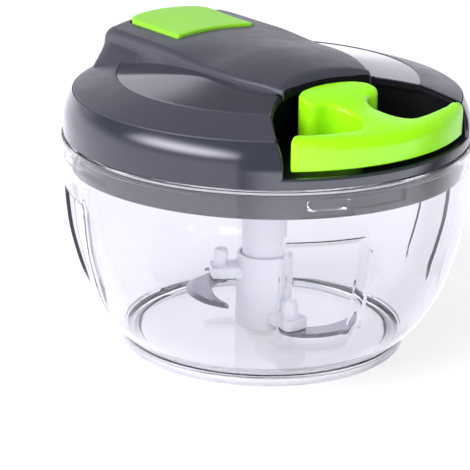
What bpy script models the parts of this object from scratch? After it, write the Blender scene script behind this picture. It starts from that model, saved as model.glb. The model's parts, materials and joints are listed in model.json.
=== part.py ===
"""A pull cord food chopper: clear bowl, bayonet lid with a cord recoil drive, and a three blade unit.

Metres, +Z up. The origin is the middle of the foot, on the surface that the chopper stands on.
The handle docks in the lid on the -Y side. Angles in plan are measured from -Y, turning towards +X.
"""

import math

import bmesh
import bpy
from mathutils import Matrix

# Fit and mesh
GAP = 0.0003
RUNNING_CLEARANCE = 0.0001
WELD = 0.000001
SEGMENTS = 48
MIDDLE_SEGMENTS = 32
SMALL_SEGMENTS = 24
TINY_SEGMENTS = 16

# Bowl
RIM_RADIUS = 0.0650
RIM_TOP = 0.0683
RIM_HEIGHT = 0.0024
RIM_LEDGE = 0.00075
BOWL_WALL = 0.0017
FOOT_INSET = 0.0196
FOOT_HEIGHT = 0.0026
FOOT_WIDTH = 0.0050
FLOOR_BOTTOM = 0.0012
FLOOR_THICKNESS = 0.0020
FLUTE_DEPTH = 0.0026
FLUTE_DROP = 0.0158
FLUTE_STEP = 0.0022
FLUTE_RISE = 0.0101
FLUTE_FADE = 0.0120
FLUTE_HALF_ANGLE = math.radians(15.0)
FLUTE_FLAT_ANGLE = math.radians(8.5)
BOSS_RADIUS = 0.0046
BOSS_TOP = 0.0070
PIN_RADIUS = 0.0025
PIN_TOP = 0.0150

# Bayonet lock
LOCK_COUNT = 4
TAB_ANGLE = math.radians(-23.1)
TAB_HALF_ANGLE = math.radians(5.4)
TAB_DROP = 0.0065
TAB_HEIGHT = 0.0031
TAB_REACH = 0.0014
TWIST_ANGLE = math.radians(17.0)
LOCK_PLAY_ANGLE = math.radians(2.0)
LOCK_PLAY = 0.0005

# Lid body
BAND_SETBACK = 0.0011
BAND_WALL = 0.0020
BAND_HEIGHT = 0.0115
DECK_RISE = 0.0037
DECK_THICKNESS = 0.0024
SKIRT_PLAY = 0.00055
SKIRT_WALL = 0.0030
SKIRT_DEPTH = 0.0091
SEAL_HEIGHT = 0.0018
SEAL_DEPTH = 0.0011
PLATE_THICKNESS = 0.0016
PLATE_SUNK = 0.0008
SCREW_RADIUS = 0.0012
SCREW_MARGIN = 0.0090
SCREW_COUNT = 4

# Lid cover
COVER_WALL = 0.0020
COVER_SETBACK = 0.0025
DOME_RISE = 0.0155
DOME_DROP = 0.0122
DOME_DROP_MARGIN = 0.0029
DOME_POWER = 1.6
SHOULDER_RADIUS = 0.0026
HUMP_FRONT = -0.0080
HUMP_HALF_WIDTH = 0.0246
HUMP_RISE = 0.0004
HUMP_RISE_START = 0.0150
HUMP_RISE_LENGTH = 0.0380
HUMP_FRONT_SAG = 0.0031
HUMP_REAR_SAG = 0.0014
HUMP_EDGE = 0.0014
HUMP_FOOT_STEP = 0.0001
SCOOP_MARGIN = 0.0140
SCOOP_STEP = 0.0005
SCOOP_SLOPE = 0.17

# Handle recess
RECESS_HALF_ANGLE = math.radians(38.3)
RECESS_REAR = 0.0228
RECESS_WALL = 0.0016
RECESS_LIP = 0.0030
RECESS_SUNK = 0.0003

# Handle
BAR_SETBACK = 0.0014
BAR_THICKNESS = 0.0065
BAR_HALF_ANGLE = math.radians(34.2)
BAR_CLEARANCE = 0.0020
NECK_HALF_WIDTH = 0.0039
FINGER_GAP = 0.0110
HANDLE_BOSS_HALF_WIDTH = 0.0129
HANDLE_BOSS_REAR = 0.0246
HANDLE_BOSS_FRONT = 0.0362
HANDLE_RISE = 0.0156
HANDLE_SLOPE = 0.185
HANDLE_EDGE = 0.0012
FERRULE_RADIUS = 0.0020
FERRULE_LENGTH = 0.0036
CORD_RADIUS = 0.0009

# Drive
SHAFT_RADIUS = 0.0072
SHANK_HALF = 0.0036
SHANK_GROOVE = 0.0034
CLIP_RADIUS = 0.0066
SHAFT_ENTRY = 0.0024
DOG_LENGTH = 0.0078
DOG_HALF_LENGTH = 0.0055
DOG_HALF_WIDTH = 0.0015
CUP_RADIUS = 0.0155
CUP_WALL = 0.0019
CUP_HEIGHT = 0.0056
TOOTH_COUNT = 12
TOOTH_DEPTH = 0.0012
TOOTH_PHASE = math.radians(12.0)
PAWL_COUNT = 2
PAWL_PIVOT = 0.0075
PAWL_THICKNESS = 0.0025
PAWL_PIN_RADIUS = 0.0013
AXLE_RADIUS = 0.0028
SPOOL_RADIUS = 0.0180
SPOOL_CORE = 0.0110
SPOOL_FLANGE = 0.0010
SPOOL_GROOVE = 0.0034
WINDING_RADIUS = 0.0146
WINDING_TANGENT = 0.0160
ARBOR_RADIUS = 0.0045
SPRING_HEIGHT = 0.0034
SPRING_TAPE = 0.0004
SPRING_TURNS = 4
SPRING_COVER_RADIUS = 0.0170
SPRING_COVER_WALL = 0.0010

# Button and vent
BUTTON_HALF_WIDTH = 0.0155
BUTTON_FRONT = 0.0262
BUTTON_REAR = 0.0552
BUTTON_PROUD = 0.0010
BUTTON_DEPTH = 0.0058
BUTTON_PLACE = 0.0380
BUTTON_PLAY = 0.0005
BUTTON_FLANGE = 0.0012
STEM_RADIUS = 0.0018
VENT_SEAL_RADIUS = 0.0055
VENT_SEAL_THICKNESS = 0.0012
GUIDE_HEIGHT = 0.0040
BUTTON_SPRING_RADIUS = 0.0030
BUTTON_SPRING_WIRE = 0.00045
BUTTON_SPRING_TURNS = 5

# Blade unit
HUB_RADIUS = 0.0090
HUB_TOP = 0.0280
HUB_FLOOR_GAP = 0.0007
BLADE_THICKNESS = 0.0010
BLADE_REACH = 0.0310
BLADE_LEVELS = {"lower": 0.0053, "middle": 0.0123, "upper": 0.0193}
BLADE_ANGLES = {"lower": 0.0, "middle": 120.0, "upper": -120.0}
ARM_HEIGHT = 0.0035
ARM_REACH = 0.0176
ARM_HALF_WIDTH = 0.0042
PEG_PLACE = 0.0140
PEG_RADIUS = 0.0022
PEG_HEIGHT = 0.0055
RIVET_HEAD = 0.0008

# Worked out from the sizes above
MOUTH_RADIUS = RIM_RADIUS - RIM_LEDGE - BOWL_WALL
FOOT_RADIUS = RIM_RADIUS - FOOT_INSET
TAB_BOTTOM = RIM_TOP - TAB_DROP
BAND_RADIUS = RIM_RADIUS - BAND_SETBACK
CREASE_HEIGHT = RIM_TOP + BAND_HEIGHT
DECK_TOP = RIM_TOP + DECK_RISE
SKIRT_RADIUS = MOUTH_RADIUS - SKIRT_PLAY
SKIRT_BOTTOM = RIM_TOP - SKIRT_DEPTH
PLATE_BOTTOM = SKIRT_BOTTOM + PLATE_SUNK
SCREW_CIRCLE = SKIRT_RADIUS - SKIRT_WALL - SCREW_MARGIN
COVER_RADIUS = BAND_RADIUS - COVER_SETBACK
DOME_TOP = CREASE_HEIGHT + DOME_RISE
DOME_DROP_RADIUS = COVER_RADIUS - DOME_DROP_MARGIN
SCOOP_RADIUS = COVER_RADIUS - SCOOP_MARGIN
BAR_RADIUS = BAND_RADIUS - BAR_SETBACK
BAR_BOTTOM = DECK_TOP + BAR_CLEARANCE
NECK_PLACE = BAR_RADIUS - BAR_THICKNESS - FINGER_GAP
HANDLE_TOP = DECK_TOP + HANDLE_RISE
SHAFT_BOTTOM = HUB_TOP - SHAFT_ENTRY
BUTTON_BOTTOM = DOME_TOP - BUTTON_DEPTH
CUT_TOP = DOME_TOP + 0.0250
FLOOR_TOP = FLOOR_BOTTOM + FLOOR_THICKNESS
BOWL_BASE = FOOT_HEIGHT + GAP
WALL_TOP = RIM_TOP - RIM_HEIGHT - 0.0004
FLUTE_TOP = RIM_TOP - FLUTE_DROP
FLUTE_BOTTOM = BOWL_BASE + FLUTE_RISE
FLANGE_BOTTOM = RIM_TOP + GAP
COVER_BOTTOM = CREASE_HEIGHT + GAP
DECK_BOTTOM = DECK_TOP - DECK_THICKNESS
SKIRT_INNER = SKIRT_RADIUS - SKIRT_WALL
PLATE_TOP = PLATE_BOTTOM + PLATE_THICKNESS
SEAL_TOP = FLANGE_BOTTOM - GAP
SEAL_BOTTOM = SEAL_TOP - SEAL_HEIGHT
HUB_BOTTOM = FLOOR_TOP + HUB_FLOOR_GAP
HUB_WEB_BOTTOM = PIN_TOP + GAP
DOG_BOTTOM = SHAFT_BOTTOM - DOG_LENGTH
BUSH_TOP = DECK_TOP + GAP + 0.0010
CUP_BOTTOM = BUSH_TOP + GAP
CUP_FLOOR = CUP_BOTTOM + 0.0012
CUP_TOP = CUP_BOTTOM + CUP_HEIGHT
SPOOL_BOTTOM = CUP_TOP + 0.0004
GROOVE_BOTTOM = SPOOL_BOTTOM + SPOOL_FLANGE
GROOVE_TOP = GROOVE_BOTTOM + SPOOL_GROOVE
SPOOL_TOP = GROOVE_TOP + SPOOL_FLANGE
CORD_HEIGHT = (GROOVE_BOTTOM + GROOVE_TOP) / 2
SPRING_BOTTOM = SPOOL_TOP + 0.0009
SPRING_TOP = SPRING_BOTTOM + SPRING_HEIGHT
SPRING_COVER_TOP = SPRING_TOP + 0.0007 + SPRING_COVER_WALL
STEM_TOP = BUTTON_BOTTOM - GAP
GUIDE_TOP = DECK_TOP + GUIDE_HEIGHT


def clear_scene():
    for obj in list(bpy.data.objects):
        bpy.data.objects.remove(obj, do_unlink=True)


def make_collection(name):
    collection = bpy.data.collections.new(name)
    bpy.context.scene.collection.children.link(collection)
    return collection


clear_scene()
PARTS = make_collection("food_chopper")
CUTTERS = make_collection("cutters")


def make_material(name, colour, roughness, metallic=0.0, transmission=0.0):
    material = bpy.data.materials.new(name)
    material.use_nodes = True
    shader = material.node_tree.nodes["Principled BSDF"]
    shader.inputs["Base Color"].default_value = (*colour, 1.0)
    shader.inputs["Roughness"].default_value = roughness
    shader.inputs["Metallic"].default_value = metallic
    shader.inputs["Transmission Weight"].default_value = transmission
    return material


MATERIALS = {
    "clear_plastic": make_material("clear_plastic", (0.93, 0.93, 0.97), 0.05, transmission=0.9),
    "foot_rubber": make_material("foot_rubber", (0.62, 0.63, 0.70), 0.45, transmission=0.3),
    "matte_grey": make_material("matte_grey", (0.085, 0.088, 0.115), 0.42),
    "gloss_grey": make_material("gloss_grey", (0.10, 0.105, 0.135), 0.12),
    "lime_plastic": make_material("lime_plastic", (0.32, 0.90, 0.025), 0.30),
    "white_plastic": make_material("white_plastic", (0.86, 0.86, 0.88), 0.35),
    "inner_plastic": make_material("inner_plastic", (0.55, 0.56, 0.58), 0.45),
    "steel": make_material("steel", (0.60, 0.60, 0.62), 0.22, metallic=1.0),
    "seal_silicone": make_material("seal_silicone", (0.80, 0.81, 0.84), 0.50),
    "cord_fibre": make_material("cord_fibre", (0.80, 0.80, 0.78), 0.85),
}


def new_object(name, mesh, material=None):
    obj = bpy.data.objects.new(name, mesh)
    if material:
        PARTS.objects.link(obj)
        mesh.materials.clear()
        mesh.materials.append(MATERIALS[material])
        mesh.shade_smooth()
        mesh.set_sharp_from_angle(angle=math.radians(35.0))
    else:
        CUTTERS.objects.link(obj)
        obj.hide_render = True
        obj.display_type = "WIRE"
    return obj


def mesh_from(bm, name):
    bmesh.ops.recalc_face_normals(bm, faces=bm.faces[:])
    mesh = bpy.data.meshes.new(name)
    bm.to_mesh(mesh)
    bm.free()
    return mesh


def applied(obj, name=None, material=None):
    """The object as its modifiers make it, as a new object in place of the old one."""
    bpy.context.view_layer.update()
    graph = bpy.context.evaluated_depsgraph_get()
    mesh = bpy.data.meshes.new_from_object(obj.evaluated_get(graph), depsgraph=graph)
    mesh.transform(obj.matrix_world)
    name = name or obj.name
    bpy.data.objects.remove(obj, do_unlink=True)
    mesh.name = name
    return new_object(name, mesh, material)


def turned(name, profile, material=None, segments=SEGMENTS, closed=True):
    """A solid of revolution about Z. The profile runs down its outer side, then back up its inner side."""
    count = len(profile)
    edges = [(i, i + 1) for i in range(count - 1)]
    if closed:
        edges.append((count - 1, 0))
    mesh = bpy.data.meshes.new(name)
    mesh.from_pydata([(radius, 0.0, height) for radius, height in profile], edges, [])
    obj = bpy.data.objects.new(name, mesh)
    CUTTERS.objects.link(obj)
    screw = obj.modifiers.new("turn", "SCREW")
    screw.steps = segments
    screw.render_steps = segments
    screw.use_merge_vertices = True
    screw.merge_threshold = WELD
    return applied(obj, name, material)


def disc(name, radius, bottom, top, material=None, segments=SMALL_SEGMENTS, at=(0.0, 0.0)):
    bm = bmesh.new()
    middle = Matrix.Translation((at[0], at[1], (bottom + top) / 2))
    depth = top - bottom
    bmesh.ops.create_cone(
        bm, cap_ends=True, segments=segments, radius1=radius, radius2=radius, depth=depth, matrix=middle
    )
    return new_object(name, mesh_from(bm, name), material)


def box(name, low, high, material=None):
    bm = bmesh.new()
    bmesh.ops.create_cube(bm, size=1.0)
    size = [b - a for a, b in zip(low, high)]
    middle = [(a + b) / 2 for a, b in zip(low, high)]
    bmesh.ops.scale(bm, vec=size, verts=bm.verts[:])
    bmesh.ops.translate(bm, vec=middle, verts=bm.verts[:])
    return new_object(name, mesh_from(bm, name), material)


def welded(obj, material=None):
    """The same object, its points that lie on each other made one."""
    bm = bmesh.new()
    bm.from_mesh(obj.data)
    bmesh.ops.remove_doubles(bm, verts=bm.verts[:], dist=WELD)
    bmesh.ops.dissolve_degenerate(bm, edges=bm.edges[:], dist=WELD)
    name = obj.name
    bpy.data.objects.remove(obj, do_unlink=True)
    return new_object(name, mesh_from(bm, name), material)


def curve_to_mesh(name, curve, material, height=0.0):
    """The curve as a closed mesh, its caps joined to its sides."""
    obj = bpy.data.objects.new(name, curve)
    obj.location.z = height
    CUTTERS.objects.link(obj)
    return welded(applied(obj, name), material)


def prism(name, outline, bottom, top, material=None):
    """A flat outline in plan, extruded from bottom to top."""
    curve = bpy.data.curves.new(name, "CURVE")
    curve.dimensions = "2D"
    curve.fill_mode = "BOTH"
    curve.extrude = (top - bottom) / 2
    spline = curve.splines.new("POLY")
    spline.points.add(len(outline) - 1)
    for point, (x, y) in zip(spline.points, outline):
        point.co = (x, y, 0.0, 1.0)
    spline.use_cyclic_u = True
    return curve_to_mesh(name, curve, material, (top + bottom) / 2)


def with_origin(obj, x, y, z=0.0):
    """Moves the object's origin, not its shape."""
    obj.data.transform(Matrix.Translation((-x, -y, -z)))
    obj.location = (x, y, z)
    return obj


def combine(target, other, operation, material=None, solver="EXACT"):
    """One solid from two, which takes the target's name."""
    modifier = target.modifiers.new(operation.lower(), "BOOLEAN")
    modifier.operation = operation
    modifier.object = other
    modifier.solver = solver
    result = applied(target, target.name)
    bpy.data.objects.remove(other, do_unlink=True)
    return welded(result, material)


def rounded(obj, width, segments, material=None, angle=40.0):
    modifier = obj.modifiers.new("edges", "BEVEL")
    modifier.width = width
    modifier.segments = segments
    modifier.limit_method = "ANGLE"
    modifier.angle_limit = math.radians(angle)
    return applied(obj, obj.name, material)


def plan_point(radius, angle):
    """A point in plan, at an angle from -Y towards +X."""
    return radius * math.sin(angle), -radius * math.cos(angle)


def arc(radius, start, end, steps, centre=(0.0, 0.0)):
    points = []
    for step in range(steps + 1):
        x, y = plan_point(radius, start + (end - start) * step / steps)
        points.append((centre[0] + x, centre[1] + y))
    return points


def sector(inner, outer, start, end, steps=4):
    return arc(outer, start, end, steps) + arc(inner, end, start, steps)


def between(p, q, r, s, t):
    """The value at t on the way from q to r, with p before them and s after them."""
    square = 2 * p - 5 * q + 4 * r - s
    cube = 3 * q - p - 3 * r + s
    return 0.5 * (2 * q + (r - p) * t + square * t**2 + cube * t**3)


def smooth_curve(points, steps, closed=False):
    """A Catmull-Rom curve through the points."""
    count = len(points)
    result = []
    spans = count if closed else count - 1
    for i in range(spans):
        if closed:
            a, b, c, d = (points[(i + k) % count] for k in (-1, 0, 1, 2))
        else:
            a, b, c, d = (points[min(max(i + k, 0), count - 1)] for k in (-1, 0, 1, 2))
        for step in range(steps):
            t = step / steps
            result.append(tuple(between(p, q, r, s, t) for p, q, r, s in zip(a, b, c, d)))
    if not closed:
        result.append(tuple(points[-1]))
    return result


def tube(name, points, radius, material, resolution=2):
    """A round wire or cord along the points, with closed ends."""
    curve = bpy.data.curves.new(name, "CURVE")
    curve.dimensions = "3D"
    curve.bevel_depth = radius
    curve.bevel_resolution = resolution
    curve.use_fill_caps = True
    spline = curve.splines.new("POLY")
    spline.points.add(len(points) - 1)
    for point, place in zip(spline.points, points):
        point.co = (*place, 1.0)
    return curve_to_mesh(name, curve, material)


def ease(value):
    value = min(max(value, 0.0), 1.0)
    return value * value * (3.0 - 2.0 * value)


# The bowl


def bowl_outline():
    """Outer side of the wall from under the rim to the base, as radius and height."""
    wall = MOUTH_RADIUS + BOWL_WALL
    above, below = WALL_TOP - FLUTE_TOP, FLUTE_TOP - FLUTE_STEP - BOWL_BASE
    shares = [(0.992, FLUTE_TOP + 0.423 * above), (0.976, FLUTE_TOP), (0.971, FLUTE_TOP - FLUTE_STEP)]
    falls = [(0.934, 0.825), (0.844, 0.624), (0.706, 0.435), (0.509, 0.270), (0.265, 0.133)]
    shares += [(share, BOWL_BASE + fall * below) for share, fall in falls]
    outline = [(FOOT_RADIUS + share * (wall - FOOT_RADIUS), height) for share, height in shares]
    return [(wall, WALL_TOP)] + outline + [(FOOT_RADIUS, BOWL_BASE)]


def flute_depth(angle, height):
    """How far the wall is pushed in: four shallow flutes below the locking tabs."""
    pitch = 2 * math.pi / LOCK_COUNT
    away = abs((angle - TAB_ANGLE + pitch / 2) % pitch - pitch / 2)
    across = 1.0 - ease((away - FLUTE_FLAT_ANGLE) / (FLUTE_HALF_ANGLE - FLUTE_FLAT_ANGLE))
    below_top = ease((FLUTE_TOP - height) / FLUTE_STEP)
    above_base = ease((height - FLUTE_BOTTOM) / FLUTE_FADE)
    return FLUTE_DEPTH * across * below_top * above_base


def make_bowl():
    outer = bowl_outline()
    inner = [(radius - BOWL_WALL, height) for radius, height in outer[1:-1]]
    base_inner = FOOT_RADIUS - FOOT_WIDTH
    profile = [(RIM_RADIUS - 0.0004, RIM_TOP), (RIM_RADIUS, RIM_TOP - 0.0005)]
    profile.append((RIM_RADIUS, RIM_TOP - RIM_HEIGHT))
    profile += outer
    profile += [(base_inner, BOWL_BASE), (base_inner - 0.0006, FLOOR_BOTTOM), (0.0, FLOOR_BOTTOM)]
    floor = [(0.0, FLOOR_TOP), (base_inner - 0.0020, FLOOR_TOP)]
    floor.append((FOOT_RADIUS - BOWL_WALL - 0.0003, BOWL_BASE + BOWL_WALL))
    profile += floor
    profile += [point for point in reversed(inner) if point[1] > BOWL_BASE + BOWL_WALL]
    profile += [(MOUTH_RADIUS, RIM_TOP - RIM_HEIGHT), (MOUTH_RADIUS, RIM_TOP)]
    start = profile.index((0.0, FLOOR_TOP))
    profile = profile[start:] + profile[:start]
    bowl = turned("bowl", profile, closed=False)
    for vertex in bowl.data.vertices:
        x, y, z = vertex.co
        radius = math.hypot(x, y)
        if radius > base_inner:
            depth = flute_depth(math.atan2(x, -y), z)
            vertex.co.x -= x / radius * depth
            vertex.co.y -= y / radius * depth
    bowl = combine(bowl, disc("boss", BOSS_RADIUS, FLOOR_TOP - 0.0005, BOSS_TOP), "UNION")
    pin_hole = disc("pin_hole", PIN_RADIUS + GAP, FLOOR_BOTTOM + 0.0014, BOSS_TOP + 0.001)
    bowl = combine(bowl, pin_hole, "DIFFERENCE")
    for i in range(LOCK_COUNT):
        middle = TAB_ANGLE + i * 2 * math.pi / LOCK_COUNT
        start, end = middle - TAB_HALF_ANGLE, middle + TAB_HALF_ANGLE
        shape = sector(MOUTH_RADIUS - TAB_REACH, MOUTH_RADIUS + 0.0008, start, end)
        bowl = combine(bowl, prism("tab", shape, TAB_BOTTOM, TAB_BOTTOM + TAB_HEIGHT), "UNION")
    return applied(bowl, "bowl", "clear_plastic")


def make_foot():
    inner = FOOT_RADIUS - FOOT_WIDTH + GAP
    profile = [
        (FOOT_RADIUS - 0.0004, FOOT_HEIGHT),
        (FOOT_RADIUS, FOOT_HEIGHT - 0.0005),
        (FOOT_RADIUS, 0.0006),
        (FOOT_RADIUS - 0.0006, 0.0),
        (inner, 0.0),
        (inner, FOOT_HEIGHT),
    ]
    return turned("non_slip_foot", profile, "foot_rubber")


def make_centre_pin():
    bottom = FLOOR_BOTTOM + 0.0014 + GAP
    profile = [
        (0.0, PIN_TOP),
        (PIN_RADIUS - 0.0005, PIN_TOP),
        (PIN_RADIUS, PIN_TOP - 0.0005),
        (PIN_RADIUS, bottom),
        (0.0, bottom),
    ]
    return turned("centre_pin", profile, "steel", SMALL_SEGMENTS, False)


# The blade unit


def blade_outline():
    """A curved blade in plan, its root on the peg and its tip swept round the hub."""
    outer = [(-16, 0.0168), (-4, 0.0215), (10, 0.0258), (26, 0.0290), (44, BLADE_REACH), (60, BLADE_REACH)]
    inner = [(46, 0.0262), (30, 0.0212), (16, 0.0162), (7, 0.0120)]
    inner += [(-3, 0.0104), (-14, 0.0108), (-20, 0.0135)]
    corners = [plan_point(radius, math.radians(angle)) for angle, radius in outer + inner]
    return smooth_curve(corners, 2, closed=True)


def turned_about_z(obj, degrees):
    obj.rotation_euler.z = math.radians(degrees)
    return obj


def make_blade(level):
    bottom = BLADE_LEVELS[level]
    blade = prism("blade_" + level, blade_outline(), bottom, bottom + BLADE_THICKNESS)
    at = (0.0, -PEG_PLACE)
    hole = disc("rivet_hole", 0.0017, bottom - 0.001, bottom + 0.003, at=at, segments=TINY_SEGMENTS)
    blade = combine(blade, hole, "DIFFERENCE", "steel")
    return turned_about_z(blade, BLADE_ANGLES[level])


def make_rivet(level):
    blade_bottom = BLADE_LEVELS[level]
    head_top = blade_bottom - GAP
    shank_top = blade_bottom + BLADE_THICKNESS + 0.0026
    profile = [
        (0.0, shank_top),
        (0.0014, shank_top),
        (0.0014, head_top),
        (0.0024, head_top),
        (0.0024, head_top - RIVET_HEAD),
        (0.0, head_top - RIVET_HEAD),
    ]
    rivet = turned("blade_rivet_" + level, profile, "steel", TINY_SEGMENTS, False)
    rivet.data.transform(Matrix.Translation((0.0, -PEG_PLACE, 0.0)))
    return turned_about_z(rivet, BLADE_ANGLES[level])


def dog_cavity():
    """The slot that takes the shaft's dog, wide enough for the lid's twist."""
    points = [(0.0061, 0.0), (0.0061, 18.0), (0.0060, 36.0), (0.0029, 55.0)]
    points += [(0.0029, 90.0), (0.0029, 125.0), (0.0060, 144.0), (0.0061, 162.0)]
    points += [(radius, angle + 180.0) for radius, angle in points]
    return [(r * math.cos(math.radians(a)), r * math.sin(math.radians(a))) for r, a in points]


def make_hub():
    profile = [
        (0.0, HUB_TOP),
        (HUB_RADIUS - 0.0006, HUB_TOP),
        (HUB_RADIUS - 0.0003, HUB_TOP - 0.0006),
        (HUB_RADIUS, HUB_BOTTOM),
        (0.0, HUB_BOTTOM),
    ]
    hub = turned("blade_hub", profile, segments=MIDDLE_SEGMENTS, closed=False)
    for level, blade_bottom in BLADE_LEVELS.items():
        bottom = blade_bottom + BLADE_THICKNESS + GAP
        shape = arc(ARM_REACH, -0.24, 0.24, 4) + [(ARM_HALF_WIDTH, -0.004), (-ARM_HALF_WIDTH, -0.004)]
        arm = prism("arm", shape, bottom, bottom + ARM_HEIGHT)
        at = (0.0, -PEG_PLACE)
        peg_top = bottom + ARM_HEIGHT + PEG_HEIGHT
        peg = disc("peg", PEG_RADIUS, bottom + 0.001, peg_top, at=at, segments=TINY_SEGMENTS)
        arm = combine(arm, peg, "UNION")
        hole = disc("hole", 0.0017, bottom - 0.001, bottom + 0.0026, at=at, segments=TINY_SEGMENTS)
        arm = combine(arm, hole, "DIFFERENCE")
        hub = combine(hub, turned_about_z(arm, BLADE_ANGLES[level]), "UNION")
    bore = PIN_RADIUS + RUNNING_CLEARANCE
    socket = SHAFT_RADIUS + 0.0004
    cuts = [
        disc("socket", socket, SHAFT_BOTTOM - 0.0008, HUB_TOP + 0.001, segments=MIDDLE_SEGMENTS),
        prism("dog_slot", dog_cavity(), DOG_BOTTOM - 0.0006, SHAFT_BOTTOM),
        disc("pin_bore", bore, HUB_BOTTOM - 0.001, HUB_WEB_BOTTOM),
        disc("boss_bore", BOSS_RADIUS + 0.0005, HUB_BOTTOM - 0.001, BOSS_TOP + 0.0004),
    ]
    for cut in cuts:
        hub = combine(hub, cut, "DIFFERENCE")
    return applied(hub, "blade_hub", "white_plastic")


# The lid cover


def dome_height(radius):
    return DOME_TOP - DOME_DROP * (radius / DOME_DROP_RADIUS) ** DOME_POWER


def dome_slope(radius):
    return DOME_DROP * DOME_POWER / DOME_DROP_RADIUS * (radius / DOME_DROP_RADIUS) ** (DOME_POWER - 1)


def moved_in(profile, inset):
    """The profile moved down and towards the axis, except its points on the axis, which only move down."""
    nearest = max(inset, 0.0)
    return [(radius - inset if radius > nearest else 0.0, height - inset) for radius, height in profile]


def dome_profile():
    """The dome from its top to its vertical edge, ending in a round shoulder."""
    tilt = math.atan(dome_slope(COVER_RADIUS - 0.7 * SHOULDER_RADIUS))
    start = COVER_RADIUS - SHOULDER_RADIUS * (1 - math.sin(tilt))
    points = [(start * i / 12, dome_height(start * i / 12)) for i in range(12)]
    centre = dome_height(start) - SHOULDER_RADIUS * math.cos(tilt)
    for step in range(5):
        angle = tilt + (math.pi / 2 - tilt) * step / 4
        across = COVER_RADIUS - SHOULDER_RADIUS + SHOULDER_RADIUS * math.sin(angle)
        points.append((across, centre + SHOULDER_RADIUS * math.cos(angle)))
    return points


def hump_height(x, y):
    middle = DOME_TOP + HUMP_RISE * ease((y - HUMP_RISE_START) / HUMP_RISE_LENGTH)
    blend = ease(y / 0.025)
    sag = HUMP_FRONT_SAG + (HUMP_REAR_SAG - HUMP_FRONT_SAG) * blend
    power = DOME_POWER + (2.0 - DOME_POWER) * blend
    start = 0.0004 * (1 - ease((y + 0.008) / 0.014))
    return middle - sag * (abs(x) / HUMP_HALF_WIDTH) ** power - start


def hump_block(inset):
    """The raised rear of the lid, lofted from cross sections along Y."""
    bottom = COVER_BOTTOM - 0.004
    bm = bmesh.new()
    rings = []
    half = HUMP_HALF_WIDTH - inset
    for i in range(13):
        y = HUMP_FRONT + (COVER_RADIUS + 0.0006 - HUMP_FRONT) * i / 12
        places = [-half + 2 * half * k / 8 for k in range(9)]
        ring = [bm.verts.new((-half, y, bottom))]
        ring += [bm.verts.new((x, y, hump_height(x, y) - inset)) for x in places]
        ring.append(bm.verts.new((half, y, bottom)))
        rings.append(ring)
    for near, far in zip(rings, rings[1:]):
        for k in range(len(near)):
            after = (k + 1) % len(near)
            bm.faces.new((near[k], near[after], far[after], far[k]))
    bm.faces.new(rings[0])
    bm.faces.new(rings[-1])
    block = new_object("hump", mesh_from(bm, "hump"))
    if inset <= 0:
        block = rounded(block, HUMP_EDGE, 2)
    falls = [(0.0069, 0.0037), (0.0051, 0.0007), (0.0037, -0.0009)]
    falls += [(0.0023, -0.0034), (0.0015, -0.0075), (0.0019, -0.0113)]
    rear = [(0.0, DOME_TOP + 0.0107)]
    rear += [(COVER_RADIUS - back, DOME_TOP + rise) for back, rise in falls]
    rear += [(COVER_RADIUS - 0.0028, bottom + 0.004), (COVER_RADIUS - 0.0028, bottom - 0.002)]
    rear.append((0.0, bottom - 0.002))
    rear = [(radius, height + inset) for radius, height in moved_in(rear, inset)]
    return combine(block, turned("rear_limit", rear, closed=False), "INTERSECT")


def scoop_cutter(side, inset):
    """The space over one polished floor beside the hump."""
    edge = dome_height(SCOOP_RADIUS) - SCOOP_STEP - inset
    radius = SCOOP_RADIUS + inset
    middle = edge + SCOOP_SLOPE * radius
    profile = [(0.0, CUT_TOP), (radius, CUT_TOP), (radius, edge), (0.0, middle)]
    funnel = turned("funnel", profile, closed=False)
    stations = [0.0014 - COVER_RADIUS, COVER_RADIUS - 0.0064]
    outline = [(side * (HUMP_HALF_WIDTH - inset - HUMP_FOOT_STEP), y) for y in stations]
    beyond = side * (COVER_RADIUS + 0.0086)
    outline += [(beyond, stations[-1]), (beyond, stations[0])]
    return combine(funnel, prism("beside", outline, edge - 0.020, CUT_TOP + 0.010), "INTERSECT")


def cover_solid(inset):
    """The lid cover filled solid, with every face moved in by the inset."""
    profile = moved_in(dome_profile(), inset)
    bottom = COVER_BOTTOM if inset <= 0 else DECK_TOP - 0.001
    profile += [(COVER_RADIUS - inset, bottom), (0.0, bottom)]
    solid = turned("cover_solid", profile, closed=False)
    solid = combine(solid, hump_block(inset), "UNION")
    for side in (-1, 1):
        solid = combine(solid, scoop_cutter(side, inset), "DIFFERENCE", solver="MANIFOLD")
    return solid


def recess_outline(rear, widen):
    """The handle recess in plan: straight sides along radii and a round rear."""
    side = []
    for radius in (BAND_RADIUS * 1.41, BAND_RADIUS - 0.0159):
        x, y = plan_point(radius, RECESS_HALF_ANGLE)
        along, across = math.cos(RECESS_HALF_ANGLE), math.sin(RECESS_HALF_ANGLE)
        side.append((x + widen * along, y + widen * across))
    side.append((0.0240 + widen, -(rear + 0.0062) + widen * 0.6))
    side.append((0.0185 + widen * 0.6, -(rear + 0.0026) + widen))
    side.append((0.0120, -(rear + 0.0007) + widen))
    mirrored = [(-x, y) for x, y in reversed(side)]
    return side + [(0.0, -rear + widen)] + mirrored


def button_outline(grow):
    """The button in plan: a hollow front edge, straight sides and a round rear."""
    half = BUTTON_HALF_WIDTH + grow
    edge = BUTTON_FRONT - grow
    front = [(half, edge), (half * 0.5, edge + 0.0012), (0.0, edge + 0.0016)]
    front += [(-half * 0.5, edge + 0.0012), (-half, edge)]
    reach = BUTTON_REAR + grow
    rear = [(-half, reach - 0.0050), (-half * 0.86, reach - 0.0026)]
    rear += [(-half * 0.5, reach - 0.0007), (0.0, reach)]
    rear += [(-x, y) for x, y in reversed(rear[:-1])]
    return list(reversed(front + rear))


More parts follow.
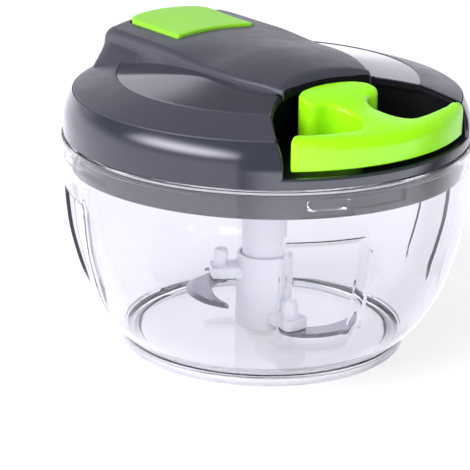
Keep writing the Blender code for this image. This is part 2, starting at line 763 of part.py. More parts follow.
def make_cover():
    cover = cover_solid(0.0)
    cover.name = "lid_cover"
    cover = combine(cover, cover_solid(COVER_WALL), "DIFFERENCE")
    boss_bottom = SPRING_COVER_TOP + GAP
    boss = disc("boss", 0.0060, boss_bottom, DOME_TOP - 0.001)
    cover = combine(cover, boss, "UNION")
    bore = disc("axle_hole", AXLE_RADIUS + GAP, boss_bottom - 0.001, boss_bottom + 0.0014 + GAP)
    cover = combine(cover, bore, "DIFFERENCE")
    opening = prism("opening", recess_outline(RECESS_REAR + RECESS_LIP, 0.0), SKIRT_BOTTOM, CUT_TOP)
    cover = combine(cover, opening, "DIFFERENCE")
    window = prism("window", button_outline(BUTTON_PLAY), BUTTON_BOTTOM - 0.0015, CUT_TOP)
    return combine(cover, window, "DIFFERENCE", "matte_grey")


# The lid body


def lid_body_profile():
    groove = SKIRT_RADIUS - SEAL_DEPTH - GAP
    return [
        (BAND_RADIUS - 0.0013, CREASE_HEIGHT),
        (BAND_RADIUS - 0.0006, CREASE_HEIGHT - 0.0008),
        (BAND_RADIUS, CREASE_HEIGHT - 0.0023),
        (BAND_RADIUS, FLANGE_BOTTOM + 0.0006),
        (BAND_RADIUS - 0.0005, FLANGE_BOTTOM),
        (groove, FLANGE_BOTTOM),
        (groove, SEAL_BOTTOM - GAP),
        (SKIRT_RADIUS, SEAL_BOTTOM - GAP),
        (SKIRT_RADIUS, SKIRT_BOTTOM + 0.0004),
        (SKIRT_RADIUS - 0.0004, SKIRT_BOTTOM),
        (SKIRT_INNER, SKIRT_BOTTOM),
        (SKIRT_INNER, DECK_BOTTOM),
        (SHAFT_RADIUS + 0.0011, DECK_BOTTOM),
        (SHAFT_RADIUS + 0.0011, DECK_TOP),
        (BAND_RADIUS - BAND_WALL, DECK_TOP),
        (BAND_RADIUS - BAND_WALL, CREASE_HEIGHT - 0.0035),
        (COVER_RADIUS - COVER_WALL + 0.0002, CREASE_HEIGHT - 0.0012),
        (COVER_RADIUS - COVER_WALL + 0.0002, CREASE_HEIGHT),
    ]


def recess_walls():
    """The wall round the handle recess, from the deck up to the inside of the cover and of the band."""
    low = DECK_TOP - DECK_THICKNESS / 2
    high = CUT_TOP - 0.010
    wall = prism("recess_wall", recess_outline(RECESS_REAR, RECESS_WALL), low, high)
    space = prism("recess_space", recess_outline(RECESS_REAR, 0.0), SKIRT_BOTTOM, CUT_TOP)
    wall = combine(wall, space, "DIFFERENCE")
    edge = prism("edge_wall", recess_outline(RECESS_REAR, RECESS_WALL), low, high)
    band = disc("band", BAND_RADIUS - BAND_WALL / 2, SKIRT_BOTTOM, CREASE_HEIGHT - 0.0001, segments=SEGMENTS)
    edge = combine(edge, band, "INTERSECT")
    middle = disc("middle", COVER_RADIUS - COVER_WALL - 0.0012, SKIRT_BOTTOM, CUT_TOP, segments=SEGMENTS)
    edge = combine(edge, middle, "DIFFERENCE")
    wall = combine(wall, cover_solid(COVER_WALL + GAP), "INTERSECT")
    return wall, edge


def lock_channels():
    """The cuts in the skirt: four notches that let the tabs in, each with a channel beside it."""
    cuts = []
    inner = MOUTH_RADIUS - TAB_REACH - LOCK_PLAY
    for i in range(LOCK_COUNT):
        middle = TAB_ANGLE + i * 2 * math.pi / LOCK_COUNT
        start = middle - TAB_HALF_ANGLE - LOCK_PLAY_ANGLE
        end = middle + TAB_HALF_ANGLE + LOCK_PLAY_ANGLE
        top = TAB_BOTTOM + TAB_HEIGHT + LOCK_PLAY
        notch = sector(inner, SKIRT_RADIUS + 0.001, start, end)
        channel = sector(inner, SKIRT_RADIUS + 0.001, middle, end + TWIST_ANGLE, 6)
        cuts.append(prism("notch", notch, SKIRT_BOTTOM - 0.001, top))
        cuts.append(prism("channel", channel, TAB_BOTTOM - LOCK_PLAY, top))
    return cuts


def screw_places():
    places = []
    for i in range(SCREW_COUNT):
        places.append(plan_point(SCREW_CIRCLE, math.pi / SCREW_COUNT + i * 2 * math.pi / SCREW_COUNT))
    return places


def make_lid_body():
    body = turned("lid_body", lid_body_profile())
    for wall in recess_walls():
        body = combine(body, wall, "UNION")
    for x, y in screw_places():
        post = disc("post", 0.0032, PLATE_TOP + GAP, DECK_BOTTOM + 0.0005, at=(x, y))
        body = combine(body, post, "UNION")
    stem = (0.0, BUTTON_PLACE)
    guide = disc("guide", STEM_RADIUS + 0.0018, DECK_TOP - 0.0005, GUIDE_TOP, at=stem)
    body = combine(body, guide, "UNION")
    cuts = lock_channels()
    cuts.append(prism("front", recess_outline(RECESS_REAR, 0.0), DECK_TOP - RECESS_SUNK, CUT_TOP))
    cuts.append(disc("stem_hole", STEM_RADIUS + 0.0003, DECK_BOTTOM - 0.001, GUIDE_TOP + 0.001, at=stem))
    for x, y in screw_places():
        radius, low, high = SCREW_RADIUS + GAP, PLATE_TOP - 0.001, DECK_BOTTOM - 0.0012
        cuts.append(disc("screw_hole", radius, low, high, at=(x, y), segments=TINY_SEGMENTS))
    cuts.append(along_y(disc("eyelet_hole", 0.0025, 0.0, 0.0100, segments=SMALL_SEGMENTS), -0.0160))
    for cut in cuts:
        body = combine(body, cut, "DIFFERENCE", solver="MANIFOLD")
    return applied(body, "lid_body", "gloss_grey")


def make_seal_ring():
    inner = SKIRT_RADIUS - SEAL_DEPTH
    outer = MOUTH_RADIUS - GAP
    middle = (SEAL_TOP + SEAL_BOTTOM) / 2
    profile = [
        (outer - 0.0004, SEAL_TOP),
        (outer, middle),
        (outer - 0.0004, SEAL_BOTTOM),
        (inner, SEAL_BOTTOM),
        (inner, SEAL_TOP),
    ]
    return turned("seal_ring", profile, "seal_silicone")


def make_base_plate():
    outer = SKIRT_INNER - GAP
    inner = SHAFT_RADIUS + 0.0008
    profile = [
        (outer, PLATE_TOP),
        (outer, PLATE_BOTTOM + 0.0004),
        (outer - 0.0004, PLATE_BOTTOM),
        (inner, PLATE_BOTTOM),
        (inner, PLATE_TOP),
    ]
    plate = turned("base_plate", profile)
    low, high = PLATE_BOTTOM - 0.001, PLATE_TOP + 0.001
    for x, y in screw_places():
        hole = disc("hole", SCREW_RADIUS + GAP, low, high, at=(x, y), segments=TINY_SEGMENTS)
        plate = combine(plate, hole, "DIFFERENCE")
    vent = disc("vent", STEM_RADIUS + 0.0006, low, high, at=(0.0, BUTTON_PLACE), segments=SMALL_SEGMENTS)
    return combine(plate, vent, "DIFFERENCE", "inner_plastic")


def make_plate_screws():
    head_top = PLATE_BOTTOM - GAP
    shank_top = DECK_BOTTOM - 0.0018
    profile = [
        (0.0, shank_top),
        (SCREW_RADIUS, shank_top - 0.0004),
        (SCREW_RADIUS, head_top),
        (0.0026, head_top),
        (0.0026, head_top - 0.0006),
        (0.0018, head_top - 0.0011),
        (0.0, head_top - 0.0011),
    ]
    for i, (x, y) in enumerate(screw_places()):
        screw = turned("plate_screw_%d" % (i + 1), profile, "steel", TINY_SEGMENTS, False)
        screw.location = (x, y, 0.0)


# The pull handle


def handle_outline():
    """An anchor in plan: a bar along the lid's edge, a narrow neck and an arched inner boss."""
    inner = BAR_RADIUS - BAR_THICKNESS
    bar = arc(BAR_RADIUS, 0.0, BAR_HALF_ANGLE, 9)
    bar += arc(inner, BAR_HALF_ANGLE, math.radians(13.0), 5)
    half = NECK_HALF_WIDTH
    neck = [
        (0.0082, -(inner - 0.0025)),
        (half + 0.0009, -(NECK_PLACE + 0.0040)),
        (half, -NECK_PLACE),
        (half + 0.0012, -(NECK_PLACE - 0.0040)),
        (0.0085, -(HANDLE_BOSS_FRONT + 0.0010)),
    ]
    wide = HANDLE_BOSS_HALF_WIDTH
    boss = [
        (wide - 0.0010, -HANDLE_BOSS_FRONT),
        (wide, -(HANDLE_BOSS_FRONT - 0.0015)),
        (wide, -(HANDLE_BOSS_REAR + 0.0068)),
        (wide - 0.0012, -(HANDLE_BOSS_REAR + 0.0050)),
        (0.0080, -(HANDLE_BOSS_REAR + 0.0017)),
        (0.0040, -(HANDLE_BOSS_REAR + 0.0003)),
    ]
    right = bar + neck + boss
    return right + [(0.0, -HANDLE_BOSS_REAR)] + [(-x, y) for x, y in reversed(right[1:])]


def handle_top(y):
    return HANDLE_TOP + HANDLE_SLOPE * (y + 0.030)


def make_handle():
    bottom = DECK_TOP + GAP
    handle = prism("pull_handle", handle_outline(), bottom, CUT_TOP)
    for vertex in handle.data.vertices:
        if vertex.co.z > HANDLE_TOP:
            vertex.co.z = handle_top(vertex.co.y)
    low = (-BAND_RADIUS, -BAND_RADIUS * 1.2, SKIRT_BOTTOM)
    under = box("under_bar", low, (BAND_RADIUS, -(HANDLE_BOSS_FRONT + 0.0030), BAR_BOTTOM))
    handle = combine(handle, under, "DIFFERENCE")
    handle = rounded(handle, HANDLE_EDGE, 2, angle=50.0)
    wall = 0.0024
    front = HANDLE_BOSS_REAR + wall + FERRULE_LENGTH + 0.0012
    reach = FERRULE_RADIUS + 0.0004
    pocket_low = (-reach, -front, bottom - 0.001)
    pocket_high = (reach, -(HANDLE_BOSS_REAR + wall), CORD_HEIGHT + reach)
    handle = combine(handle, box("pocket", pocket_low, pocket_high), "DIFFERENCE", solver="MANIFOLD")
    slot_low = (-(CORD_RADIUS + 0.0004), -(HANDLE_BOSS_REAR + wall + 0.001), bottom - 0.001)
    slot_high = (CORD_RADIUS + 0.0004, -(HANDLE_BOSS_REAR - 0.002), CORD_HEIGHT + CORD_RADIUS + 0.0004)
    return combine(handle, box("cord_slot", slot_low, slot_high), "DIFFERENCE", "lime_plastic", "MANIFOLD")


def along_y(obj, start):
    """Lays a piece turned about Z along -Y, its foot at the start and its axis at the cord's height."""
    obj.data.transform(Matrix.Translation((0.0, start, CORD_HEIGHT)) @ Matrix.Rotation(math.pi / 2, 4, "X"))
    return obj


def make_ferrule():
    start = -(HANDLE_BOSS_REAR + 0.0024 + 0.0006)
    ferrule = disc("cord_ferrule", FERRULE_RADIUS, 0.0, FERRULE_LENGTH, "steel", TINY_SEGMENTS)
    return along_y(ferrule, start)


def make_cord():
    """The cord from its winding, through the eyelet, to the ferrule in the handle."""
    bend = (0.0, -(RECESS_REAR - RECESS_WALL - 0.0004))
    angle = math.acos(WINDING_TANGENT / -bend[1])
    start = (WINDING_TANGENT * math.sin(angle), -WINDING_TANGENT * math.cos(angle))
    route = [
        start,
        tuple(a + (b - a) * 0.5 for a, b in zip(start, bend)),
        tuple(a + (b - a) * 0.80 for a, b in zip(start, bend)),
        (0.0004, bend[1] + 0.0003),
        (0.0, bend[1] - 0.0010),
        (0.0, bend[1] - 0.0030),
        (0.0, -(HANDLE_BOSS_REAR + 0.0024 + 0.0006 - GAP)),
    ]
    points = [(x, y, CORD_HEIGHT) for x, y in smooth_curve(route, 2)]
    return tube("pull_cord", points, CORD_RADIUS, "cord_fibre")


def make_eyelet():
    """A flanged bush in the rear wall of the recess."""
    inside = -(RECESS_REAR - RECESS_WALL)
    length = RECESS_WALL + 0.0009
    flange = 0.0005
    bore = CORD_RADIUS + 0.0004
    profile = [
        (0.0034, length),
        (0.0034, length - flange),
        (0.0022, length - flange),
        (0.0022, 0.0),
        (bore, 0.0),
        (bore, length),
    ]
    return along_y(turned("cord_eyelet", profile, "inner_plastic", TINY_SEGMENTS), inside)


# The drive


def make_shaft():
    profile = [
        (0.0, CUP_BOTTOM - GAP),
        (SHAFT_RADIUS, CUP_BOTTOM - GAP),
        (SHAFT_RADIUS, SHAFT_BOTTOM + 0.0005),
        (SHAFT_RADIUS - 0.0005, SHAFT_BOTTOM),
        (0.0, SHAFT_BOTTOM),
    ]
    shaft = turned("drive_shaft", profile, segments=MIDDLE_SEGMENTS, closed=False)
    low = (-SHANK_HALF, -SHANK_HALF, CUP_BOTTOM - 0.0010)
    shaft = combine(shaft, box("shank", low, (SHANK_HALF, SHANK_HALF, CUP_FLOOR + 0.0022)), "UNION")
    groove = [
        (SHAFT_RADIUS + 0.0008, CUP_FLOOR + 0.0013),
        (SHAFT_RADIUS + 0.0008, CUP_FLOOR + 0.0001),
        (SHANK_GROOVE, CUP_FLOOR + 0.0001),
        (SHANK_GROOVE, CUP_FLOOR + 0.0013),
    ]
    shaft = combine(shaft, turned("groove", groove, segments=SMALL_SEGMENTS), "DIFFERENCE")
    low = (-DOG_HALF_LENGTH, -DOG_HALF_WIDTH, DOG_BOTTOM)
    high = (DOG_HALF_LENGTH, DOG_HALF_WIDTH, SHAFT_BOTTOM + 0.001)
    return combine(shaft, box("dog", low, high), "UNION", "white_plastic")


def tooth_outline():
    points = []
    root = CUP_RADIUS - CUP_WALL
    tip = root - TOOTH_DEPTH
    ramp = [(0.0, tip), (0.34, tip + TOOTH_DEPTH * 0.34), (0.67, tip + TOOTH_DEPTH * 0.67), (1.0, root)]
    for i in range(TOOTH_COUNT):
        start = TOOTH_PHASE + i * 2 * math.pi / TOOTH_COUNT
        for share, radius in ramp:
            angle = -(start + share * 2 * math.pi / TOOTH_COUNT)
            points.append((radius * math.cos(angle), radius * math.sin(angle)))
    return points


def make_drive_cup():
    cup = disc("drive_cup", CUP_RADIUS, CUP_BOTTOM, CUP_TOP, segments=MIDDLE_SEGMENTS)
    cup = combine(cup, prism("teeth", tooth_outline(), CUP_FLOOR, CUP_TOP + 0.001), "DIFFERENCE")
    half = SHANK_HALF + GAP
    hole = box("hole", (-half, -half, CUP_BOTTOM - 0.001), (half, half, CUP_FLOOR + 0.001))
    return combine(cup, hole, "DIFFERENCE", "inner_plastic")


def make_clip():
    bottom = CUP_FLOOR + GAP
    top = bottom + 0.0008
    inner = SHANK_GROOVE + GAP
    profile = [(CLIP_RADIUS, top), (CLIP_RADIUS, bottom), (inner, bottom), (inner, top)]
    clip = turned("retaining_clip", profile, segments=SMALL_SEGMENTS)
    mouth = box("mouth", (-0.0012, 0.0, bottom - 0.001), (0.0012, CLIP_RADIUS + 0.003, top + 0.001))
    return combine(clip, mouth, "DIFFERENCE", "steel")


def make_bush():
    outer = SHAFT_RADIUS + 0.0008
    bore = SHAFT_RADIUS + RUNNING_CLEARANCE
    profile = [
        (SHAFT_RADIUS + 0.0033, BUSH_TOP),
        (SHAFT_RADIUS + 0.0033, DECK_TOP + GAP),
        (outer, DECK_TOP + GAP),
        (outer, DECK_BOTTOM),
        (bore, DECK_BOTTOM),
        (bore, BUSH_TOP),
    ]
    return turned("shaft_bush", profile, "inner_plastic", MIDDLE_SEGMENTS)


def make_spool():
    profile = [
        (ARBOR_RADIUS, SPRING_TOP - 0.0002),
        (ARBOR_RADIUS, SPOOL_TOP),
        (SPOOL_RADIUS, SPOOL_TOP),
        (SPOOL_RADIUS, GROOVE_TOP),
        (SPOOL_CORE, GROOVE_TOP),
        (SPOOL_CORE, GROOVE_BOTTOM),
        (SPOOL_RADIUS, GROOVE_BOTTOM),
        (SPOOL_RADIUS, SPOOL_BOTTOM),
        (AXLE_RADIUS + RUNNING_CLEARANCE, SPOOL_BOTTOM),
        (AXLE_RADIUS + RUNNING_CLEARANCE, SPRING_TOP - 0.0002),
    ]
    spool = turned("cord_spool", profile, segments=MIDDLE_SEGMENTS)
    for i in range(PAWL_COUNT):
        angle = i * 2 * math.pi / PAWL_COUNT
        at = (PAWL_PIVOT * math.cos(angle), PAWL_PIVOT * math.sin(angle))
        low, high = SPOOL_BOTTOM - 0.0034, SPOOL_BOTTOM + 0.0005
        pin = disc("pin", PAWL_PIN_RADIUS, low, high, at=at, segments=TINY_SEGMENTS)
        spool = combine(spool, pin, "UNION")
    return applied(spool, "cord_spool", "inner_plastic")


def make_winding():
    inner = SPOOL_CORE + GAP
    low, high = GROOVE_BOTTOM + GAP, GROOVE_TOP - GAP
    profile = [
        (WINDING_RADIUS - 0.0005, high),
        (WINDING_RADIUS, high - 0.0005),
        (WINDING_RADIUS, low + 0.0005),
        (WINDING_RADIUS - 0.0005, low),
        (inner, low),
        (inner, high),
    ]
    return turned("cord_winding", profile, "cord_fibre", MIDDLE_SEGMENTS)


def make_pawls():
    """Two pawls on the spool's pins, each with its tip in a tooth space of the cup."""
    tip_radius = CUP_RADIUS - CUP_WALL - TOOTH_DEPTH + 0.0005
    low = SPOOL_BOTTOM - 0.0032
    for i in range(PAWL_COUNT):
        turn = i * 2 * math.pi / PAWL_COUNT
        shape = []
        for step in range(9):
            angle = -math.radians(150.0 + 180.0 * step / 8)
            shape.append((PAWL_PIVOT + 0.0023 * math.cos(angle), 0.0023 * math.sin(angle)))
        tooth = 2 * math.pi / TOOTH_COUNT
        tip = [(1.10, tip_radius), (1.30, tip_radius), (1.36, tip_radius - 0.0016)]
        tip.append((1.20, tip_radius - 0.0030))
        for share, radius in tip:
            shape.append((radius * math.cos(tooth * share), -radius * math.sin(tooth * share)))
        pawl = prism("pawl", shape, low, low + PAWL_THICKNESS)
        bore = PAWL_PIN_RADIUS + RUNNING_CLEARANCE
        hole = disc("hole", bore, low - 0.001, low + 0.005, at=(PAWL_PIVOT, 0.0), segments=TINY_SEGMENTS)
        pawl = with_origin(combine(pawl, hole, "DIFFERENCE", "steel"), PAWL_PIVOT, 0.0)
        pawl.name = "pawl_%d" % (i + 1)
        pawl.location = (PAWL_PIVOT * math.cos(turn), PAWL_PIVOT * math.sin(turn), 0.0)
        pawl.rotation_euler.z = turn


def make_axle():
    top = SPRING_COVER_TOP + GAP + 0.0014
    profile = [
        (0.0, top),
        (AXLE_RADIUS - 0.0003, top),
        (AXLE_RADIUS, top - 0.0003),
        (AXLE_RADIUS, SPOOL_BOTTOM - GAP),
        (0.0046, SPOOL_BOTTOM - GAP),
        (0.0046, SPOOL_BOTTOM - 0.0014),
        (0.0, SPOOL_BOTTOM - 0.0014),
    ]
    return turned("spool_axle", profile, "steel", SMALL_SEGMENTS, False)


def make_recoil_spring():
    """A flat spiral spring, from the arbor out to its housing."""
    steps = SPRING_TURNS * 14
    start, end = ARBOR_RADIUS + 0.0008, SPRING_COVER_RADIUS - SPRING_COVER_WALL - 0.0008
    inner, outer = [], []
    for i in range(steps + 1):
        angle = 2 * math.pi * SPRING_TURNS * i / steps
        radius = start + (end - start) * i / steps
        inner.append((radius * math.cos(angle), radius * math.sin(angle)))
        wide = radius + SPRING_TAPE
        outer.append((wide * math.cos(angle), wide * math.sin(angle)))
    bm = bmesh.new()
    pairs = []
    for a, b in zip(inner, outer):
        pairs.append((bm.verts.new((*a, SPRING_BOTTOM)), bm.verts.new((*b, SPRING_BOTTOM))))
    for near, far in zip(pairs, pairs[1:]):
        bm.faces.new((near[0], near[1], far[1], far[0]))
    raised = bmesh.ops.extrude_face_region(bm, geom=bm.faces[:])
    lifted = [item for item in raised["geom"] if isinstance(item, bmesh.types.BMVert)]
    bmesh.ops.translate(bm, verts=lifted, vec=(0.0, 0.0, SPRING_HEIGHT))
    return new_object("recoil_spring", mesh_from(bm, "recoil_spring"), "steel")


def make_spring_cover():
    inner = SPRING_COVER_RADIUS - SPRING_COVER_WALL
    hole = AXLE_RADIUS + GAP
    profile = [
        (SPRING_COVER_RADIUS - 0.0004, SPRING_COVER_TOP),
        (SPRING_COVER_RADIUS, SPRING_COVER_TOP - 0.0004),
        (SPRING_COVER_RADIUS, SPRING_BOTTOM),
        (inner, SPRING_BOTTOM),
        (inner, SPRING_COVER_TOP - SPRING_COVER_WALL),
        (hole, SPRING_COVER_TOP - SPRING_COVER_WALL),
        (hole, SPRING_COVER_TOP),
    ]
    return turned("spring_cover", profile, "inner_plastic", MIDDLE_SEGMENTS)


# The release button and its vent


def make_button():
    button = prism("release_button", button_outline(0.0), BUTTON_BOTTOM, CUT_TOP)
    button = combine(button, cover_solid(-BUTTON_PROUD), "INTERSECT")
    flange = button_outline(BUTTON_PLAY + BUTTON_FLANGE)
    flange = prism("flange", flange, BUTTON_BOTTOM + 0.0005, CUT_TOP)
    flange = combine(flange, cover_solid(COVER_WALL + GAP), "INTERSECT")
    button = combine(button, flange, "UNION", "lime_plastic")
    return with_origin(button, 0.0, BUTTON_PLACE, BUTTON_BOTTOM)


def make_vent_stem():
    plate = PLATE_BOTTOM - GAP
    seal_bottom = plate - VENT_SEAL_THICKNESS
    profile = [
        (0.0, STEM_TOP),
        (STEM_RADIUS, STEM_TOP),
        (STEM_RADIUS, plate + 0.0002),
        (0.0010, plate + 0.0002),
        (0.0010, seal_bottom - GAP),
        (0.0022, seal_bottom - GAP),
        (0.0018, seal_bottom - 0.0012),
        (0.0, seal_bottom - 0.0012),
    ]
    stem = turned("vent_stem", profile, "white_plastic", TINY_SEGMENTS, False)
    stem.location.y = BUTTON_PLACE
    return stem


def make_vent_seal():
    top = PLATE_BOTTOM - GAP
    bottom = top - VENT_SEAL_THICKNESS
    profile = [(VENT_SEAL_RADIUS, top), (VENT_SEAL_RADIUS - 0.0008, bottom)]
    profile += [(0.0013, bottom), (0.0013, top)]
    seal = turned("vent_seal", profile, "seal_silicone", TINY_SEGMENTS)
    seal.location.y = BUTTON_PLACE
    return seal


def make_button_spring():
    low = GUIDE_TOP + GAP + BUTTON_SPRING_WIRE
    high = STEM_TOP - BUTTON_SPRING_WIRE
    steps = BUTTON_SPRING_TURNS * 9
    points = []
    for i in range(steps + 1):
        angle = 2 * math.pi * BUTTON_SPRING_TURNS * i / steps
        x, y = plan_point(BUTTON_SPRING_RADIUS, angle)
        points.append((x, BUTTON_PLACE + y, low + (high - low) * i / steps))
    return tube("button_spring", points, BUTTON_SPRING_WIRE, "steel", 1)


def build():
    make_bowl()
    make_foot()
    make_centre_pin()
    make_hub()
    for level in BLADE_LEVELS:
        make_blade(level)
        make_rivet(level)
    make_cover()
    make_lid_body()
    make_seal_ring()
    make_base_plate()
    make_plate_screws()
    make_handle()
    make_ferrule()
    make_cord()
    make_eyelet()
    make_shaft()
    make_drive_cup()
    make_clip()
    make_bush()
    make_spool()
    make_winding()
    make_pawls()
    make_axle()
    make_recoil_spring()
    make_spring_cover()
    make_button()
    make_vent_stem()
    make_vent_seal()
    make_button_spring()


build()
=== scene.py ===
"""The pull cord food chopper as it looks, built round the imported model.

Metres, +Z up, the handle on the -Y side. Angles in plan are measured from -Y, turning towards +X.
"""

import json
import math

import bmesh
import bpy
from mathutils import Matrix, Vector


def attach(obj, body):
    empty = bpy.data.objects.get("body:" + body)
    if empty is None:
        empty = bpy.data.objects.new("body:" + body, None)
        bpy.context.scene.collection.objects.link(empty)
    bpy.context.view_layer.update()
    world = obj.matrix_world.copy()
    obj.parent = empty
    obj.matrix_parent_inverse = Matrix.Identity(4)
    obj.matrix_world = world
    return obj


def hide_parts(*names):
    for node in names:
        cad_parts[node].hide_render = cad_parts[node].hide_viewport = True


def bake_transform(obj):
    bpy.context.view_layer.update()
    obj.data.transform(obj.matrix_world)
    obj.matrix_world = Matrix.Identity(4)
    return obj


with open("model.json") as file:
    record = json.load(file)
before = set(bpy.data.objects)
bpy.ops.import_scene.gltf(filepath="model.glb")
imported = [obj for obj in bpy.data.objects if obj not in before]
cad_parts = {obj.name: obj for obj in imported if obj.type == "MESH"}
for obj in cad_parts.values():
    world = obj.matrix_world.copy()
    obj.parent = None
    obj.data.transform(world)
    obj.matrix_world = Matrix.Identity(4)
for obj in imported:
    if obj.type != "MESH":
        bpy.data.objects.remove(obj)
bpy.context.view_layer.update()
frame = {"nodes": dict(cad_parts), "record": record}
SCENE = bpy.context.scene

# Bowl
RIM_RADIUS = 0.0646
RIM_TOP = 0.0683
RIM_BOTTOM = 0.0659
WALL_TOP = 0.0598
BOWL_WALL = 0.0017
MOUTH_RADIUS = 0.06255
FOOT_RADIUS = 0.0454
FOOT_HEIGHT = 0.0026
BOWL_BASE = 0.0029
FLOOR_BOTTOM = 0.0012
FLOOR_TOP = 0.0032

# Tabs that lock the lid
TAB_PITCH = math.pi / 2
TAB_ANGLE = math.radians(-23.1)
TAB_HALF_ANGLE = math.radians(5.4)
TAB_BOTTOM = 0.0618
TAB_TOP = 0.0649
TWIST_ANGLE = math.radians(17.0)
LOCK_PLAY = math.radians(2.0)

# Lid
BAND_RADIUS = 0.0639
CREASE_HEIGHT = 0.0798
BAND_TOP = 0.0820
DECK_TOP = 0.0720
DECK_BOTTOM = 0.0696
SKIRT_RADIUS = 0.0620
SKIRT_INNER = 0.0590
SKIRT_BOTTOM = 0.0592
FLANGE_BOTTOM = 0.0686
COVER_BOTTOM = 0.0801
COVER_RADIUS = 0.0608
COVER_WALL = 0.0020
SHOULDER = 0.0007
DOME_TOP = 0.0953
DOME_DROP = 0.0122
DOME_DROP_RADIUS = 0.0585
DOME_POWER = 1.6
SCOOP_RADIUS = 0.0474
RECESS_HALF_ANGLE = math.radians(38.3)
RECESS_LIP = 0.0030
HUMP_HALF_WIDTH = 0.0246
SPINE_REAR = 0.0596
WALL_STEPS = 6
LIP_HALF_WIDTH = 0.0172
LIP_REAR = -0.0230
STEM_PLACE = 0.0380
STEM_HOLE_RADIUS = 0.0022

# Button and handle
BUTTON_HALF_WIDTH = 0.0155
BUTTON_FRONT = 0.0262
BUTTON_REAR = 0.0560
BUTTON_PROUD = 0.0010
BUTTON_FOOT = 0.0925
BAR_RADIUS = 0.0625
BAR_HALF_ANGLE = math.radians(34.0)
BAR_BOTTOM = 0.0735
HANDLE_TOP = 0.0876
HANDLE_SLOPE = 0.185

# Blade unit, shaft and cord
HUB_RADIUS = 0.0090
HUB_TOP = 0.0280
SHAFT_RADIUS = 0.0072
RIVET_PLACE = 0.0140
BLADES = {"lower": (0.0053, 0.0), "middle": (0.0123, 120.0), "upper": (0.0193, -120.0)}
BLADE_THICKNESS = 0.0010
CORD_RADIUS = 0.0009
CORD_HEIGHT = 0.0823

# Camera and light
CAMERA_AZIMUTH = math.radians(-40.0)
CAMERA_ELEVATION = math.radians(17.54)
CAMERA_ROLL = math.radians(1.27)
CAMERA_TARGET = (0.0, 0.0, 0.050)
CAMERA_DISTANCE = 0.645
LENS = 155.4
LENS_SHIFT = (-0.0653, -0.1057)
ROOM_LIGHT = 0.16
COVE_LIGHT = 0.9
COVE_LIGHT_RIGHT = 1.1
SCREEN_LIGHT = 1.6
SCREEN_EDGE = math.radians(-105.0)
LAMP_LIGHT = 14.0
CARD_LIGHT = 3.0
THROUGH_LIGHT = 1.35


# Nodes


def fill(tree, node, inputs):
    """Set inputs, given by name or number: a socket is linked, anything else is a value."""
    for name, value in inputs.items():
        if isinstance(value, bpy.types.NodeSocket):
            tree.links.new(value, node.inputs[name])
        else:
            node.inputs[name].default_value = value


def add_node(tree, kind, inputs=None, **settings):
    node = tree.nodes.new("ShaderNode" + kind)
    for name, value in settings.items():
        setattr(node, name, value)
    fill(tree, node, inputs or {})
    return node


def between(tree, value, start, end, low=0.0, high=1.0):
    """The value's eased share of the way from start to end, moved into the range low to high."""
    inputs = {"Value": value, "From Min": start, "From Max": end, "To Min": low, "To Max": high}
    node = add_node(tree, "MapRange", inputs, interpolation_type="SMOOTHSTEP")
    return node.outputs["Result"]


def combined(tree, operation, first, *others):
    for other in others:
        first = add_node(tree, "Math", {0: first, 1: other}, operation=operation).outputs[0]
    return first


# Camera and stage


def camera_side(right, away, up):
    """A point given in the camera's plan directions, from the middle of the foot."""
    x = right * math.cos(CAMERA_AZIMUTH) - away * math.sin(CAMERA_AZIMUTH)
    y = right * math.sin(CAMERA_AZIMUTH) + away * math.cos(CAMERA_AZIMUTH)
    return Vector((x, y, up))


def place_camera():
    direction = camera_side(0.0, -math.cos(CAMERA_ELEVATION), math.sin(CAMERA_ELEVATION))
    data = bpy.data.cameras.new("camera")
    data.sensor_width = 36.0
    data.lens = LENS
    data.shift_x, data.shift_y = LENS_SHIFT
    data.clip_start = 0.05
    data.clip_end = 10.0
    data.dof.use_dof = False
    camera = bpy.data.objects.new("camera", data)
    camera.location = Vector(CAMERA_TARGET) + direction * CAMERA_DISTANCE
    look = (-direction).to_track_quat("-Z", "Y").to_matrix().to_4x4()
    roll = Matrix.Rotation(CAMERA_ROLL, 4, "Z")
    camera.matrix_world = Matrix.Translation(camera.location) @ look @ roll
    SCENE.collection.objects.link(camera)
    SCENE.camera = camera


def area_light(name, place, size, power, height=None):
    """A soft light on the middle of the object, which nothing mirrors."""
    data = bpy.data.lights.new(name, "AREA")
    data.shape = "RECTANGLE"
    data.size = size
    data.size_y = height or size
    data.energy = power
    light = bpy.data.objects.new(name, data)
    light.location = camera_side(*place)
    toward = camera_side(0.0, 0.0, 0.06) - light.location
    light.rotation_euler = toward.to_track_quat("-Z", "Y").to_euler()
    light.visible_glossy = False
    SCENE.collection.objects.link(light)


def along(tree, direction, right, away):
    """How far the direction points along a level axis, given as seen from the camera."""
    inputs = {0: direction, 1: camera_side(right, away, 0.0)}
    return add_node(tree, "VectorMath", inputs, operation="DOT_PRODUCT").outputs["Value"]


